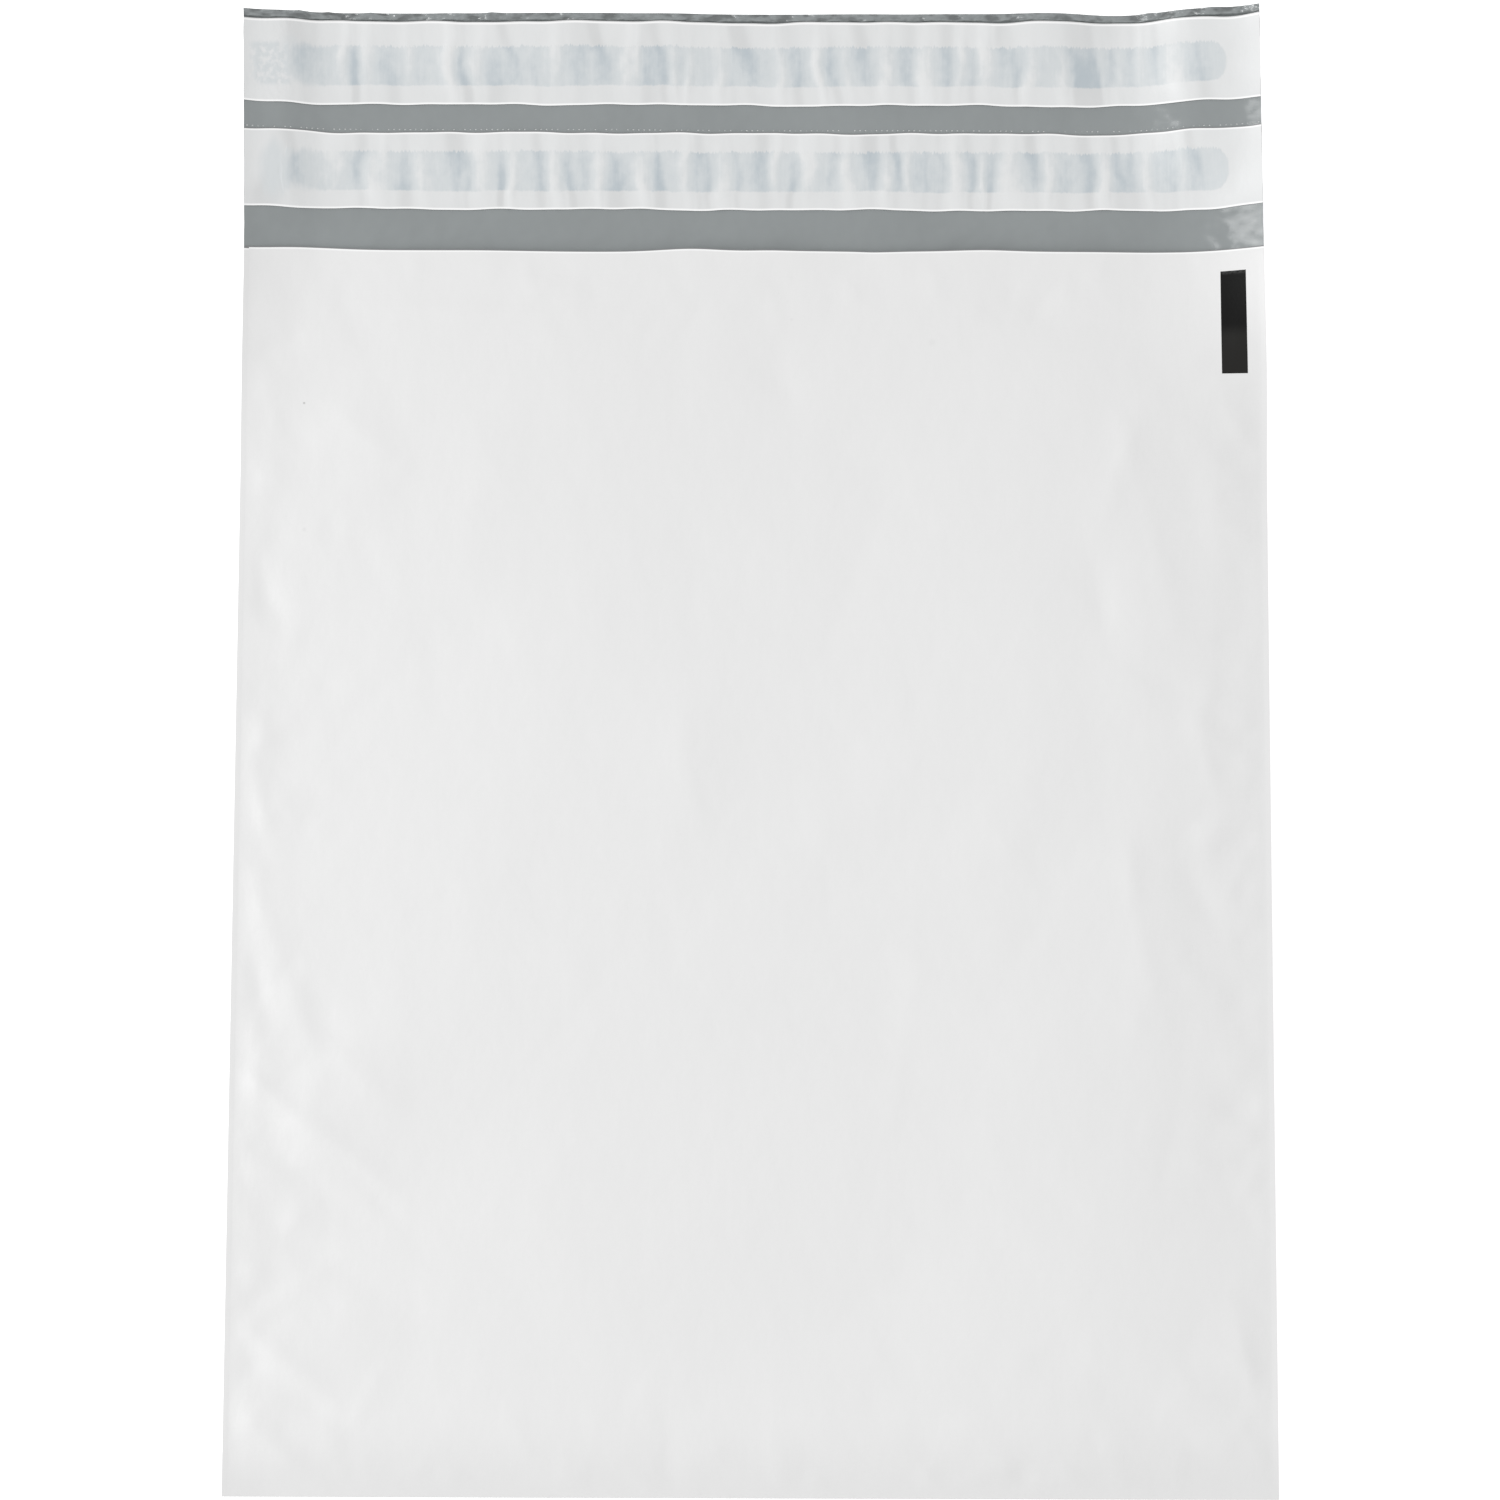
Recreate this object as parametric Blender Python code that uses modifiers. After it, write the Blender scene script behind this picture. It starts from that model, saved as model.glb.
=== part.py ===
"""Returnable poly mailer, empty and lying flat with its flap open.

One sheet of film makes the whole bag. It starts at the flap's free edge, runs down under the bag
as the back panel, turns over at the bottom fold and comes back up as the front panel, to the
mouth. Both sides are welded from the fold to the mouth. The flap carries two adhesive strips,
each under a full-width release liner. Every piece is laid out flat first, and the flat layout is
then given the curl and the waves of film that lies by itself on a table.

The bag lies on z = 0 with its mouth towards +Y, centred on the origin. Lengths are in metres.
"""

import math

import bpy
import bmesh
from mathutils import Vector

COLLECTION_NAME = "poly_mailer_bag"
TOOLS_NAME = "weld_strips"

# Film
FILM_WIDTH = 0.254
BODY_LENGTH = 0.305
FILM_THICKNESS = 0.000064
FOLD_HEIGHT = 0.0012
WELD_WIDTH = 0.0012
WELD_HEIGHT = 0.0003
WELD_BEAD = 0.00005

# Flap, from its free edge to the mouth
FREE_EDGE_MARGIN = 0.0022
UPPER_LINER_WIDTH = 0.0213
TEAR_STRIP_WIDTH = 0.0069
LOWER_LINER_WIDTH = 0.0197
MOUTH_MARGIN = 0.0106

# Adhesive strips under the liners
ADHESIVE_WIDTH = 0.0100
ADHESIVE_THICKNESS = 0.0001
ADHESIVE_LEFT_MARGIN = 0.0115
ADHESIVE_RIGHT_MARGIN = 0.0085
UPPER_ADHESIVE_DROP = 0.0064
LOWER_ADHESIVE_DROP = 0.0050
ADHESIVE_END_ROUND = 0.0040

# Release liners
LINER_THICKNESS = 0.00005
GATHER_PITCH = 0.0096
GATHER_HEIGHT = 0.0009
BORDER_GATHER_SHARE = 0.3
UPPER_GATHER_PHASE = 54.195
LOWER_GATHER_PHASE = 45.735

# Printed mark on the front panel
MARK_WIDTH = 0.00635
MARK_LENGTH = 0.0254
MARK_THICKNESS = 0.00003
MARK_SIDE_MARGIN = 0.0046
MARK_MOUTH_MARGIN = 0.0056

# How far one layer stands off the layer that it rests on
LAYER_GAP = 0.0003

# Fullness of the empty bag: how far the front panel stands off the surface that the bag lies on
PUFF = 0.0030
SIDE_SLOPE = 0.0140
BOTTOM_SLOPE = 0.0200
MOUTH_SLOPE = 0.0400
MOUTH_PUFF_SHARE = 0.35

# Curl of the two upper corners, where the film keeps the set of the roll
RIGHT_CURL_LENGTH = 0.032
RIGHT_CURL_RISE = 0.0098
LEFT_CURL_LENGTH = 0.020
LEFT_CURL_RISE = 0.0038
CURL_RISE_AT_MOUTH = 0.85
CURL_FADE_LENGTH = 0.060

# Waves of the flap, which grow towards its free edge
FLAP_WAVE_HEIGHT = 0.0010
FLAP_WAVE_LENGTH = 0.088

# Spacing of the lines that the film is shaped on
EDGE_STEP = 0.0055
PANEL_STEP = 0.0125
CURL_STEP = 0.0100
FLAP_STEP = 0.0155
BACK_STEP = 0.0600
FOLD_STEPS = 4

# Long soft folds of the front panel: centre across, centre below the mouth, heading from the
# bag's width, half length, half width and height
PANEL_FOLDS = [
    (0.097, 0.073, math.radians(84), 0.050, 0.011, 0.0007),
    (0.085, 0.112, math.radians(97), 0.036, 0.010, -0.0005),
    (0.098, 0.172, math.radians(88), 0.052, 0.013, 0.0009),
    (0.061, 0.146, math.radians(62), 0.022, 0.011, 0.0005),
    (0.020, 0.145, math.radians(52), 0.024, 0.011, 0.0004),
    (-0.015, 0.131, math.radians(80), 0.022, 0.010, 0.0006),
    (-0.096, 0.040, math.radians(66), 0.034, 0.012, 0.0005),
    (-0.106, 0.214, math.radians(38), 0.034, 0.011, 0.0008),
    (-0.088, 0.236, math.radians(30), 0.030, 0.011, -0.0006),
    (-0.110, 0.270, math.radians(24), 0.022, 0.010, 0.0006),
    (0.000, 0.269, math.radians(2), 0.080, 0.012, -0.0004),
    (0.030, 0.060, math.radians(70), 0.050, 0.022, -0.0004),
    (-0.045, 0.090, math.radians(108), 0.060, 0.024, 0.0004),
    (0.030, 0.215, math.radians(95), 0.060, 0.026, -0.0004),
]

TEAR_LINE_TO_FREE_EDGE = FREE_EDGE_MARGIN + UPPER_LINER_WIDTH + TEAR_STRIP_WIDTH
FLAP_LENGTH = TEAR_LINE_TO_FREE_EDGE + LOWER_LINER_WIDTH + MOUTH_MARGIN
HALF_WIDTH = FILM_WIDTH / 2
BAG_LENGTH = BODY_LENGTH + FLAP_LENGTH
FREE_EDGE_Y = BAG_LENGTH / 2
BOTTOM_Y = -BAG_LENGTH / 2
MOUTH_Y = BOTTOM_Y + BODY_LENGTH
CURL_END_Y = MOUTH_Y - CURL_FADE_LENGTH
RIGHT_CURL_X = HALF_WIDTH - RIGHT_CURL_LENGTH
LEFT_CURL_X = HALF_WIDTH - LEFT_CURL_LENGTH

UPPER_LINER_TOP_Y = FREE_EDGE_Y - FREE_EDGE_MARGIN
LOWER_LINER_TOP_Y = FREE_EDGE_Y - TEAR_LINE_TO_FREE_EDGE
MARK_RIGHT_X = HALF_WIDTH - MARK_SIDE_MARGIN
MARK_LEFT_X = MARK_RIGHT_X - MARK_WIDTH
MARK_TOP_Y = MOUTH_Y - MARK_MOUTH_MARGIN
MARK_BOTTOM_Y = MARK_TOP_Y - MARK_LENGTH

ADHESIVE_Z = FILM_THICKNESS + LAYER_GAP
LINER_BORDER_Z = FILM_THICKNESS + LAYER_GAP
LINER_OVER_ADHESIVE_Z = ADHESIVE_Z + ADHESIVE_THICKNESS + LAYER_GAP

LINE_TOLERANCE = 0.000001
SMOOTH_ANGLE = math.radians(40)


def clear_scene():
    """Remove whatever the scene holds."""
    for old in list(bpy.data.objects):
        bpy.data.objects.remove(old, do_unlink=True)


def new_collection(name):
    """A fresh collection in the scene."""
    collection = bpy.data.collections.new(name)
    bpy.context.scene.collection.children.link(collection)
    return collection


def new_material(name, colour, roughness):
    """A plastic finish: linear colour and roughness."""
    material = bpy.data.materials.new(name)
    material.use_nodes = True
    shader = material.node_tree.nodes["Principled BSDF"]
    shader.inputs["Base Color"].default_value = (*colour, 1.0)
    shader.inputs["Roughness"].default_value = roughness
    shader.inputs["Metallic"].default_value = 0.0
    material.diffuse_color = (*colour, 1.0)
    return material


def clamp(value):
    """Hold a value between 0 and 1."""
    return min(1.0, max(0.0, value))


def ease(value):
    """A smooth step from 0 to 1."""
    value = clamp(value)
    return value * value * (3.0 - 2.0 * value)


def swell(distance, reach):
    """Rise from 0 at an edge to 1 at a distance, steep at the edge and level at the end."""
    return 1.0 - (1.0 - clamp(distance / reach)) ** 2


def ruled(stops, steps):
    """Lines through every stop, with each bay split evenly into steps no longer than its own."""
    pairs = sorted(zip(stops, list(steps) + [steps[-1]]))
    lines = [pairs[0][0]]
    for (start, step), (end, _) in zip(pairs, pairs[1:]):
        count = math.ceil(round((end - start) / step, 6))
        for i in range(1, count + 1):
            lines.append(start + (end - start) * i / count)
    return lines


def columns():
    """Lines along the bag, close together where its corners curl and its sides slope."""
    left_stops = [-HALF_WIDTH, -HALF_WIDTH + WELD_WIDTH, -LEFT_CURL_X]
    right_stops = [RIGHT_CURL_X, MARK_LEFT_X, MARK_RIGHT_X, HALF_WIDTH - WELD_WIDTH, HALF_WIDTH]
    steps = [WELD_WIDTH, EDGE_STEP, PANEL_STEP, EDGE_STEP, EDGE_STEP, EDGE_STEP, WELD_WIDTH]
    return ruled(left_stops + right_stops, steps)


def front_rows():
    """Lines across the front panel, from the bottom fold to the mouth."""
    slope_end = BOTTOM_Y + BOTTOM_SLOPE
    stops = [BOTTOM_Y + FOLD_HEIGHT, slope_end, CURL_END_Y, MARK_BOTTOM_Y, MARK_TOP_Y, MOUTH_Y]
    steps = [BOTTOM_SLOPE / 3, PANEL_STEP, CURL_STEP, CURL_STEP, MARK_MOUTH_MARGIN]
    return ruled(stops, steps)


def back_rows():
    """Lines across the back panel and the flap: those of the front panel where the bag curls."""
    flat = ruled([BOTTOM_Y + FOLD_HEIGHT, CURL_END_Y], [BACK_STEP])
    curled = [y for y in front_rows() if y > CURL_END_Y + LINE_TOLERANCE]
    flap = ruled([MOUTH_Y, FREE_EDGE_Y], [FLAP_STEP])[1:]
    return flat + curled + flap


def panel_fold_height(x, below_mouth):
    """Height that the long soft folds add to the front panel."""
    total = 0.0
    for across, down, heading, half_length, half_width, height in PANEL_FOLDS:
        dx = x - across
        dy = down - below_mouth
        along = dx * math.cos(heading) + dy * math.sin(heading)
        beside = dy * math.cos(heading) - dx * math.sin(heading)
        total += height * math.exp(-((along / half_length) ** 2) - (beside / half_width) ** 2)
    return total


def front_height(x, y):
    """Height of the front panel's white side over the underside of the bag."""
    side = swell(HALF_WIDTH - WELD_WIDTH - abs(x), SIDE_SLOPE)
    bottom = swell(y - BOTTOM_Y, BOTTOM_SLOPE)
    near_mouth = MOUTH_PUFF_SHARE + (1.0 - MOUTH_PUFF_SHARE) * ease((MOUTH_Y - y) / MOUTH_SLOPE)
    fullness = PUFF + panel_fold_height(x, MOUTH_Y - y)
    return WELD_HEIGHT + side * (FOLD_HEIGHT - WELD_HEIGHT + bottom * near_mouth * fullness)


def curl_strength(y):
    """Share of the full curl at a distance along the bag."""
    if y >= MOUTH_Y:
        along_flap = (y - MOUTH_Y) / FLAP_LENGTH
        return CURL_RISE_AT_MOUTH + (1.0 - CURL_RISE_AT_MOUTH) * along_flap
    return CURL_RISE_AT_MOUTH * (1.0 - ease((MOUTH_Y - y) / CURL_FADE_LENGTH))


def flap_wave(x, y):
    """Height of the flap's waves, none at the mouth and full at the free edge."""
    growth = ease((y - MOUTH_Y) / FLAP_LENGTH)
    long_wave = 0.5 - 0.5 * math.cos(2.0 * math.pi * x / FLAP_WAVE_LENGTH)
    middle = ease((HALF_WIDTH - abs(x)) / (RIGHT_CURL_LENGTH * 2.0))
    return FLAP_WAVE_HEIGHT * growth * long_wave * middle


def lay(x, y, z):
    """Place a point of the flat layout on the bag as it lies, with its upper corners curled."""
    side = 1.0 if x > 0.0 else -1.0
    length = RIGHT_CURL_LENGTH if x > 0.0 else LEFT_CURL_LENGTH
    rise = RIGHT_CURL_RISE if x > 0.0 else LEFT_CURL_RISE
    into_curl = abs(x) - (HALF_WIDTH - length)
    curvature = 2.0 * rise * curl_strength(y) / length ** 2
    height = flap_wave(x, y) + z
    if into_curl <= 0.0 or curvature * length < 0.001:
        return Vector((x, y, height))
    turn = into_curl * curvature
    across = HALF_WIDTH - length + math.sin(turn) / curvature - height * math.sin(turn)
    up = (1.0 - math.cos(turn)) / curvature + height * math.cos(turn)
    return Vector((side * across, y, up))


def sheet_mesh(name, across_count, along_count, place):
    """An open sheet: a grid whose corners go where place(i, j) says.

    Each cell is split from its near left corner to the opposite one, seen from above, so that
    layers that lie together split alike.
    """
    mesh = bpy.data.meshes.new(name)
    sheet = bmesh.new()
    bmesh.ops.create_grid(sheet, x_segments=across_count, y_segments=along_count, size=1.0)
    for corner in sheet.verts:
        i = round((corner.co.x + 1.0) / 2.0 * across_count)
        j = round((corner.co.y + 1.0) / 2.0 * along_count)
        corner.co = place(i, j)
    for cell in sheet.faces[:]:
        corners = list(cell.verts)
        start = min(range(4), key=lambda k: corners[k].co.x + corners[k].co.y)
        bmesh.utils.face_split(cell, corners[start], corners[start - 2])
    sheet.to_mesh(mesh)
    sheet.free()
    mesh.shade_smooth()
    mesh.set_sharp_from_angle(angle=SMOOTH_ANGLE)
    return mesh


def new_sheet(name, mesh, collection, thickness, outward, materials):
    """An object of one thickness made from an open sheet."""
    sheet = bpy.data.objects.new(name, mesh)
    collection.objects.link(sheet)
    for material in materials:
        mesh.materials.append(material)
    shell = sheet.modifiers.new("film thickness", "SOLIDIFY")
    shell.thickness = thickness
    shell.offset = 1.0 if outward else -1.0
    shell.use_even_offset = True
    shell.material_offset = len(materials) - 1
    return sheet


def film_rows():
    """The film's lines in the order in which the sheet runs, each as a panel and a place on it."""
    back = [("back", y) for y in reversed(back_rows())]
    fold = [("fold", math.pi * i / FOLD_STEPS) for i in range(FOLD_STEPS + 1)]
    front = [("front", y) for y in front_rows()]
    return back + fold + front


def film_point(x, panel, place):
    """A point of the film's white side in the flat layout."""
    if panel == "back":
        return (x, place, 0.0)
    if panel == "front":
        return (x, place, front_height(x, place))
    fold_height = front_height(x, BOTTOM_Y)
    radius = fold_height / 2.0
    return (x, BOTTOM_Y + radius * (1.0 - math.sin(place)), radius * (1.0 - math.cos(place)))


def weld_strip(name, side, collection, material):
    """The strip of melted film that joins the two panels along one side."""
    outer = side * (HALF_WIDTH + WELD_BEAD)
    inner = side * (HALF_WIDTH - WELD_WIDTH)
    across = [outer, inner] if side < 0.0 else [inner, outer]
    along = [BOTTOM_Y - WELD_BEAD] + front_rows()[:-1] + [MOUTH_Y - WELD_BEAD]
    floor = FILM_THICKNESS / 2.0

    def place(i, j):
        return lay(across[i], along[j], floor)

    mesh = sheet_mesh(name, 1, len(along) - 1, place)
    strip = new_sheet(name, mesh, collection, WELD_HEIGHT - FILM_THICKNESS, True, [material])
    strip.hide_render = True
    strip.display_type = "WIRE"
    return strip


def make_bag_film(collection, tools, outside, inside):
    """The bag itself: the folded film with both of its sides welded."""
    across = columns()
    rows = film_rows()

    def place(i, j):
        return lay(*film_point(across[i], *rows[j]))

    mesh = sheet_mesh("bag_film", len(across) - 1, len(rows) - 1, place)
    film = new_sheet("bag_film", mesh, collection, FILM_THICKNESS, False, [outside, inside])
    for name, side in (("weld_left", -1.0), ("weld_right", 1.0)):
        weld = film.modifiers.new(name, "BOOLEAN")
        weld.operation = "UNION"
        weld.solver = "EXACT"
        weld.object = weld_strip(name, side, tools, outside)
    return film


def make_adhesive_strip(name, liner_top_y, drop, collection, material):
    """A band of adhesive with rounded ends, laid on the flap's grey side."""
    left = -HALF_WIDTH + ADHESIVE_LEFT_MARGIN
    right = HALF_WIDTH - ADHESIVE_RIGHT_MARGIN
    middle_y = liner_top_y - drop - ADHESIVE_WIDTH / 2.0
    end_turns = [math.radians(75), math.radians(50), math.radians(25)]
    reach = [ADHESIVE_END_ROUND * (1.0 - math.sin(turn)) for turn in end_turns]
    stops = [left + ADHESIVE_END_ROUND, -LEFT_CURL_X, RIGHT_CURL_X, right - ADHESIVE_END_ROUND]
    run = ruled(stops, [EDGE_STEP, PANEL_STEP, EDGE_STEP])
    across = [left + r for r in reach] + run + [right - r for r in reversed(reach)]
    shares = [math.cos(turn) for turn in end_turns]
    shares = shares + [1.0] * len(run) + shares[::-1]

    def place(i, j):
        y = middle_y + (j - 0.5) * shares[i] * ADHESIVE_WIDTH
        return lay(across[i], y, ADHESIVE_Z)

    mesh = sheet_mesh(name, len(across) - 1, 1, place)
    return new_sheet(name, mesh, collection, ADHESIVE_THICKNESS, True, [material])


def make_release_liner(name, top_y, width, drop, phase, collection, material):
    """A strip of release film, with one line at each gather and one between each two."""
    across = ruled([-HALF_WIDTH, HALF_WIDTH], [GATHER_PITCH / 2.0])
    along = [top_y - width, top_y - drop - ADHESIVE_WIDTH, top_y - drop, top_y]
    heights = [LINER_BORDER_Z, LINER_OVER_ADHESIVE_Z, LINER_OVER_ADHESIVE_Z, LINER_BORDER_Z]
    gather_share = [BORDER_GATHER_SHARE, 1.0, 1.0, BORDER_GATHER_SHARE]

    def gather(i):
        if i % 2 == 0:
            return 0.0
        return GATHER_HEIGHT * (0.45 + 0.55 * math.sin(i * 2.4 + phase) ** 2)

    def place(i, j):
        return lay(across[i], along[j], heights[j] + gather_share[j] * gather(i))

    mesh = sheet_mesh(name, len(across) - 1, len(along) - 1, place)
    return new_sheet(name, mesh, collection, LINER_THICKNESS, True, [material])


def make_registration_mark(collection, material):
    """The plain black rectangle printed on the front panel."""
    across = [x for x in columns() if MARK_LEFT_X <= x <= MARK_RIGHT_X]
    along = [y for y in front_rows() if MARK_BOTTOM_Y <= y <= MARK_TOP_Y]

    def place(i, j):
        return lay(across[i], along[j], front_height(across[i], along[j]) + LAYER_GAP)

    mesh = sheet_mesh("registration_mark", len(across) - 1, len(along) - 1, place)
    return new_sheet("registration_mark", mesh, collection, MARK_THICKNESS, True, [material])


def main():
    """Build the mailer."""
    clear_scene()
    parts = new_collection(COLLECTION_NAME)
    tools = new_collection(TOOLS_NAME)

    white_film = new_material("white_film", (0.80, 0.81, 0.81), 0.42)
    grey_film = new_material("grey_film", (0.29, 0.31, 0.315), 0.35)
    adhesive = new_material("adhesive", (0.52, 0.58, 0.62), 0.25)
    release_film = new_material("release_film", (0.72, 0.74, 0.75), 0.30)
    black_ink = new_material("black_ink", (0.021, 0.021, 0.020), 0.38)

    make_bag_film(parts, tools, white_film, grey_film)
    strips = [
        ("upper", UPPER_LINER_TOP_Y, UPPER_LINER_WIDTH, UPPER_ADHESIVE_DROP, UPPER_GATHER_PHASE),
        ("lower", LOWER_LINER_TOP_Y, LOWER_LINER_WIDTH, LOWER_ADHESIVE_DROP, LOWER_GATHER_PHASE),
    ]
    for place, top_y, width, drop, phase in strips:
        make_adhesive_strip("adhesive_strip_" + place, top_y, drop, parts, adhesive)
        liner = "release_liner_" + place
        make_release_liner(liner, top_y, width, drop, phase, parts, release_film)
    make_registration_mark(parts, black_ink)


main()
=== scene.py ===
"""Looks of the returnable poly mailer that lies flat and empty with its flap open.

Every layer is first a flat sheet, ruled with lines across and along it. The same few rules of how
the empty bag lies then give it its fullness, folds, curl and waves. Lengths are in metres, +Y runs
from the bottom fold to the flap's free edge, and +X points to the side with the printed mark.
"""

import math

import bpy
import numpy as np
from mathutils import Matrix, Vector


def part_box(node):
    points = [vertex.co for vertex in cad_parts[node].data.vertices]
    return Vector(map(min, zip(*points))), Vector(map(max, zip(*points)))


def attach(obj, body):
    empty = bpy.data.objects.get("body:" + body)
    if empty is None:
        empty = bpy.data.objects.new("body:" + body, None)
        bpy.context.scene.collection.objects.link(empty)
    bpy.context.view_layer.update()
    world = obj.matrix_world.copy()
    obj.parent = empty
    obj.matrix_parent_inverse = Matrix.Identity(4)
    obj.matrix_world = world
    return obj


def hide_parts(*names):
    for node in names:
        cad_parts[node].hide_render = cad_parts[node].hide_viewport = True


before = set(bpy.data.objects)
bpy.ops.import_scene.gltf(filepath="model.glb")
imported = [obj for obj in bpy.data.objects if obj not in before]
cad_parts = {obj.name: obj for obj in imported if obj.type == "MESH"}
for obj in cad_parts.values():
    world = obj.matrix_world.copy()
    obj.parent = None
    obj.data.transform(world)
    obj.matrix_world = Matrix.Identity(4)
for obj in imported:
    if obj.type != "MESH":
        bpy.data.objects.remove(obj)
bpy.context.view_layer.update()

bl_info = {
    "name": "Poly mailer finish",
    "version": (1, 0, 0),
    "blender": (4, 5, 0),
    "location": "View3D > Sidebar > Mailer",
    "description": "Builds the film, liners, adhesive, printed mark and studio of a poly mailer",
    "category": "Object",
}

BODY = "root"
SHEET_MAP = "sheet"
MM = 0.001

FILM_LOW, FILM_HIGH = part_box("bag_film")
UPPER_LINER_LOW, UPPER_LINER_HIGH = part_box("release_liner_upper")
LOWER_LINER_LOW, LOWER_LINER_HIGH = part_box("release_liner_lower")
UPPER_BAND_LOW, UPPER_BAND_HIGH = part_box("adhesive_strip_upper")
LOWER_BAND_LOW, LOWER_BAND_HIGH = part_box("adhesive_strip_lower")
MARK_LOW, MARK_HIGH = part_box("registration_mark")

# The side weld stands this far out of the film's own outline
WELD_BEAD = 0.00005

# Long soft folds of the front panel: centre across, centre below the mouth, heading from the
# bag's width, half length, half width and height
SOFT_FOLDS = [
    (0.097, 0.073, math.radians(84), 0.050, 0.011, 0.0004),
    (0.085, 0.112, math.radians(97), 0.036, 0.010, -0.0005),
    (0.098, 0.172, math.radians(88), 0.052, 0.013, 0.0006),
    (0.061, 0.146, math.radians(62), 0.022, 0.011, 0.0005),
    (0.020, 0.145, math.radians(52), 0.024, 0.011, 0.0004),
    (-0.015, 0.131, math.radians(80), 0.022, 0.010, 0.0003),
    (-0.096, 0.040, math.radians(66), 0.034, 0.012, 0.0005),
    (-0.106, 0.214, math.radians(38), 0.034, 0.011, 0.0008),
    (-0.088, 0.236, math.radians(30), 0.030, 0.011, -0.0006),
    (-0.110, 0.270, math.radians(24), 0.022, 0.010, 0.0006),
    (0.000, 0.269, math.radians(2), 0.080, 0.012, -0.0004),
    (0.030, 0.060, math.radians(70), 0.050, 0.022, -0.0004),
    (-0.045, 0.090, math.radians(108), 0.060, 0.024, 0.0004),
    (0.030, 0.215, math.radians(95), 0.060, 0.026, -0.0004),
]

# Creases of the front panel, in millimetres: each end as across and below the mouth, then the
# half width and the height
CREASES = [
    # lower left corner
    (-125, 200, -103, 222, 3.2, 0.30),
    (-112, 212, -86, 232, 2.4, 0.26),
    (-126, 214, -92, 242, 3.6, -0.28),
    (-108, 236, -113, 243, 2.0, 0.22),
    (-126, 262, -98, 284, 3.4, 0.34),
    (-122, 272, -92, 292, 2.6, -0.20),
    (-98, 226, -84, 240, 1.8, -0.16),
    # left side
    (-125, 150, -104, 205, 4.2, 0.26),
    (-126, 122, -118, 146, 3.0, 0.22),
    (-126, 70, -118, 92, 3.4, -0.20),
    # right side, a long wandering fold
    (98, 34, 83, 74, 4.0, 0.20),
    (83, 74, 88, 100, 3.4, -0.22),
    (88, 100, 108, 112, 3.2, -0.20),
    (108, 112, 113, 136, 3.2, 0.22),
    (113, 136, 103, 148, 3.4, -0.20),
    (104, 150, 114, 170, 3.6, -0.24),
    (91, 146, 93, 164, 3.2, 0.24),
    (93, 162, 98, 188, 3.2, 0.22),
    (96, 60, 104, 96, 3.2, 0.12),
    (90, 40, 94, 58, 2.2, 0.12),
    # middle
    (-17, 114, -17, 128, 1.1, 0.055),
    (-17, 128, -12, 146, 1.1, 0.06),
    (12, 132, 24, 160, 2.4, 0.05),
    (54, 136, 70, 160, 2.0, 0.05),
    (-52, 150, -38, 196, 5.0, 0.10),
    (5, 4, 9, 46, 5.0, -0.16),
    (19, 4, 27, 14, 2.0, 0.12),
    # under the mouth
    (-100, 14, -52, 16, 3.0, 0.16),
    (-66, 8, -30, 11, 2.0, 0.10),
    (-40, 5, 2, 8, 1.6, 0.08),
    (26, 5, 74, 8, 1.8, 0.09),
    (58, 14, 100, 22, 3.0, -0.12),
    (-112, 4, -98, 30, 3.0, 0.10),
    (-104, 6, -84, 52, 4.0, -0.09),
    (-108, 36, -84, 58, 2.6, 0.12),
    (-58, 2, -54, 12, 1.6, 0.12),
    (-86, 1, -82, 8, 1.6, 0.10),
    # bottom edge
    (-29, 298, -22, 305, 1.6, 0.14),
    (14, 299, 20, 305, 1.6, 0.14),
    (40, 296, 46, 304, 2.0, 0.20),
    (46, 303, 60, 297, 2.2, 0.20),
    (-108, 262, -30, 270, 6.0, -0.20),
    (-125, 284, -106, 300, 3.0, 0.26),
    (-118, 240, -80, 262, 5.0, -0.24),
    (-104, 196, -84, 214, 5.0, 0.26),
    (-120, 228, -104, 226, 1.6, 0.16),
    (-30, 268, 70, 266, 7.0, -0.16),
    (70, 266, 118, 302, 6.0, -0.26),
    (116, 258, 122, 284, 3.0, 0.22),
]

# Small dark specks on the front panel, in millimetres: across, below the mouth, radius and strength
SPECKS = [(-111.4, 38.8, 0.34, 0.55), (44.0, 23.4, 1.1, 0.05), (9.3, 17.6, 0.5, 0.06), (-110.8, 70.4, 0.6, 0.08)]

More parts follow.
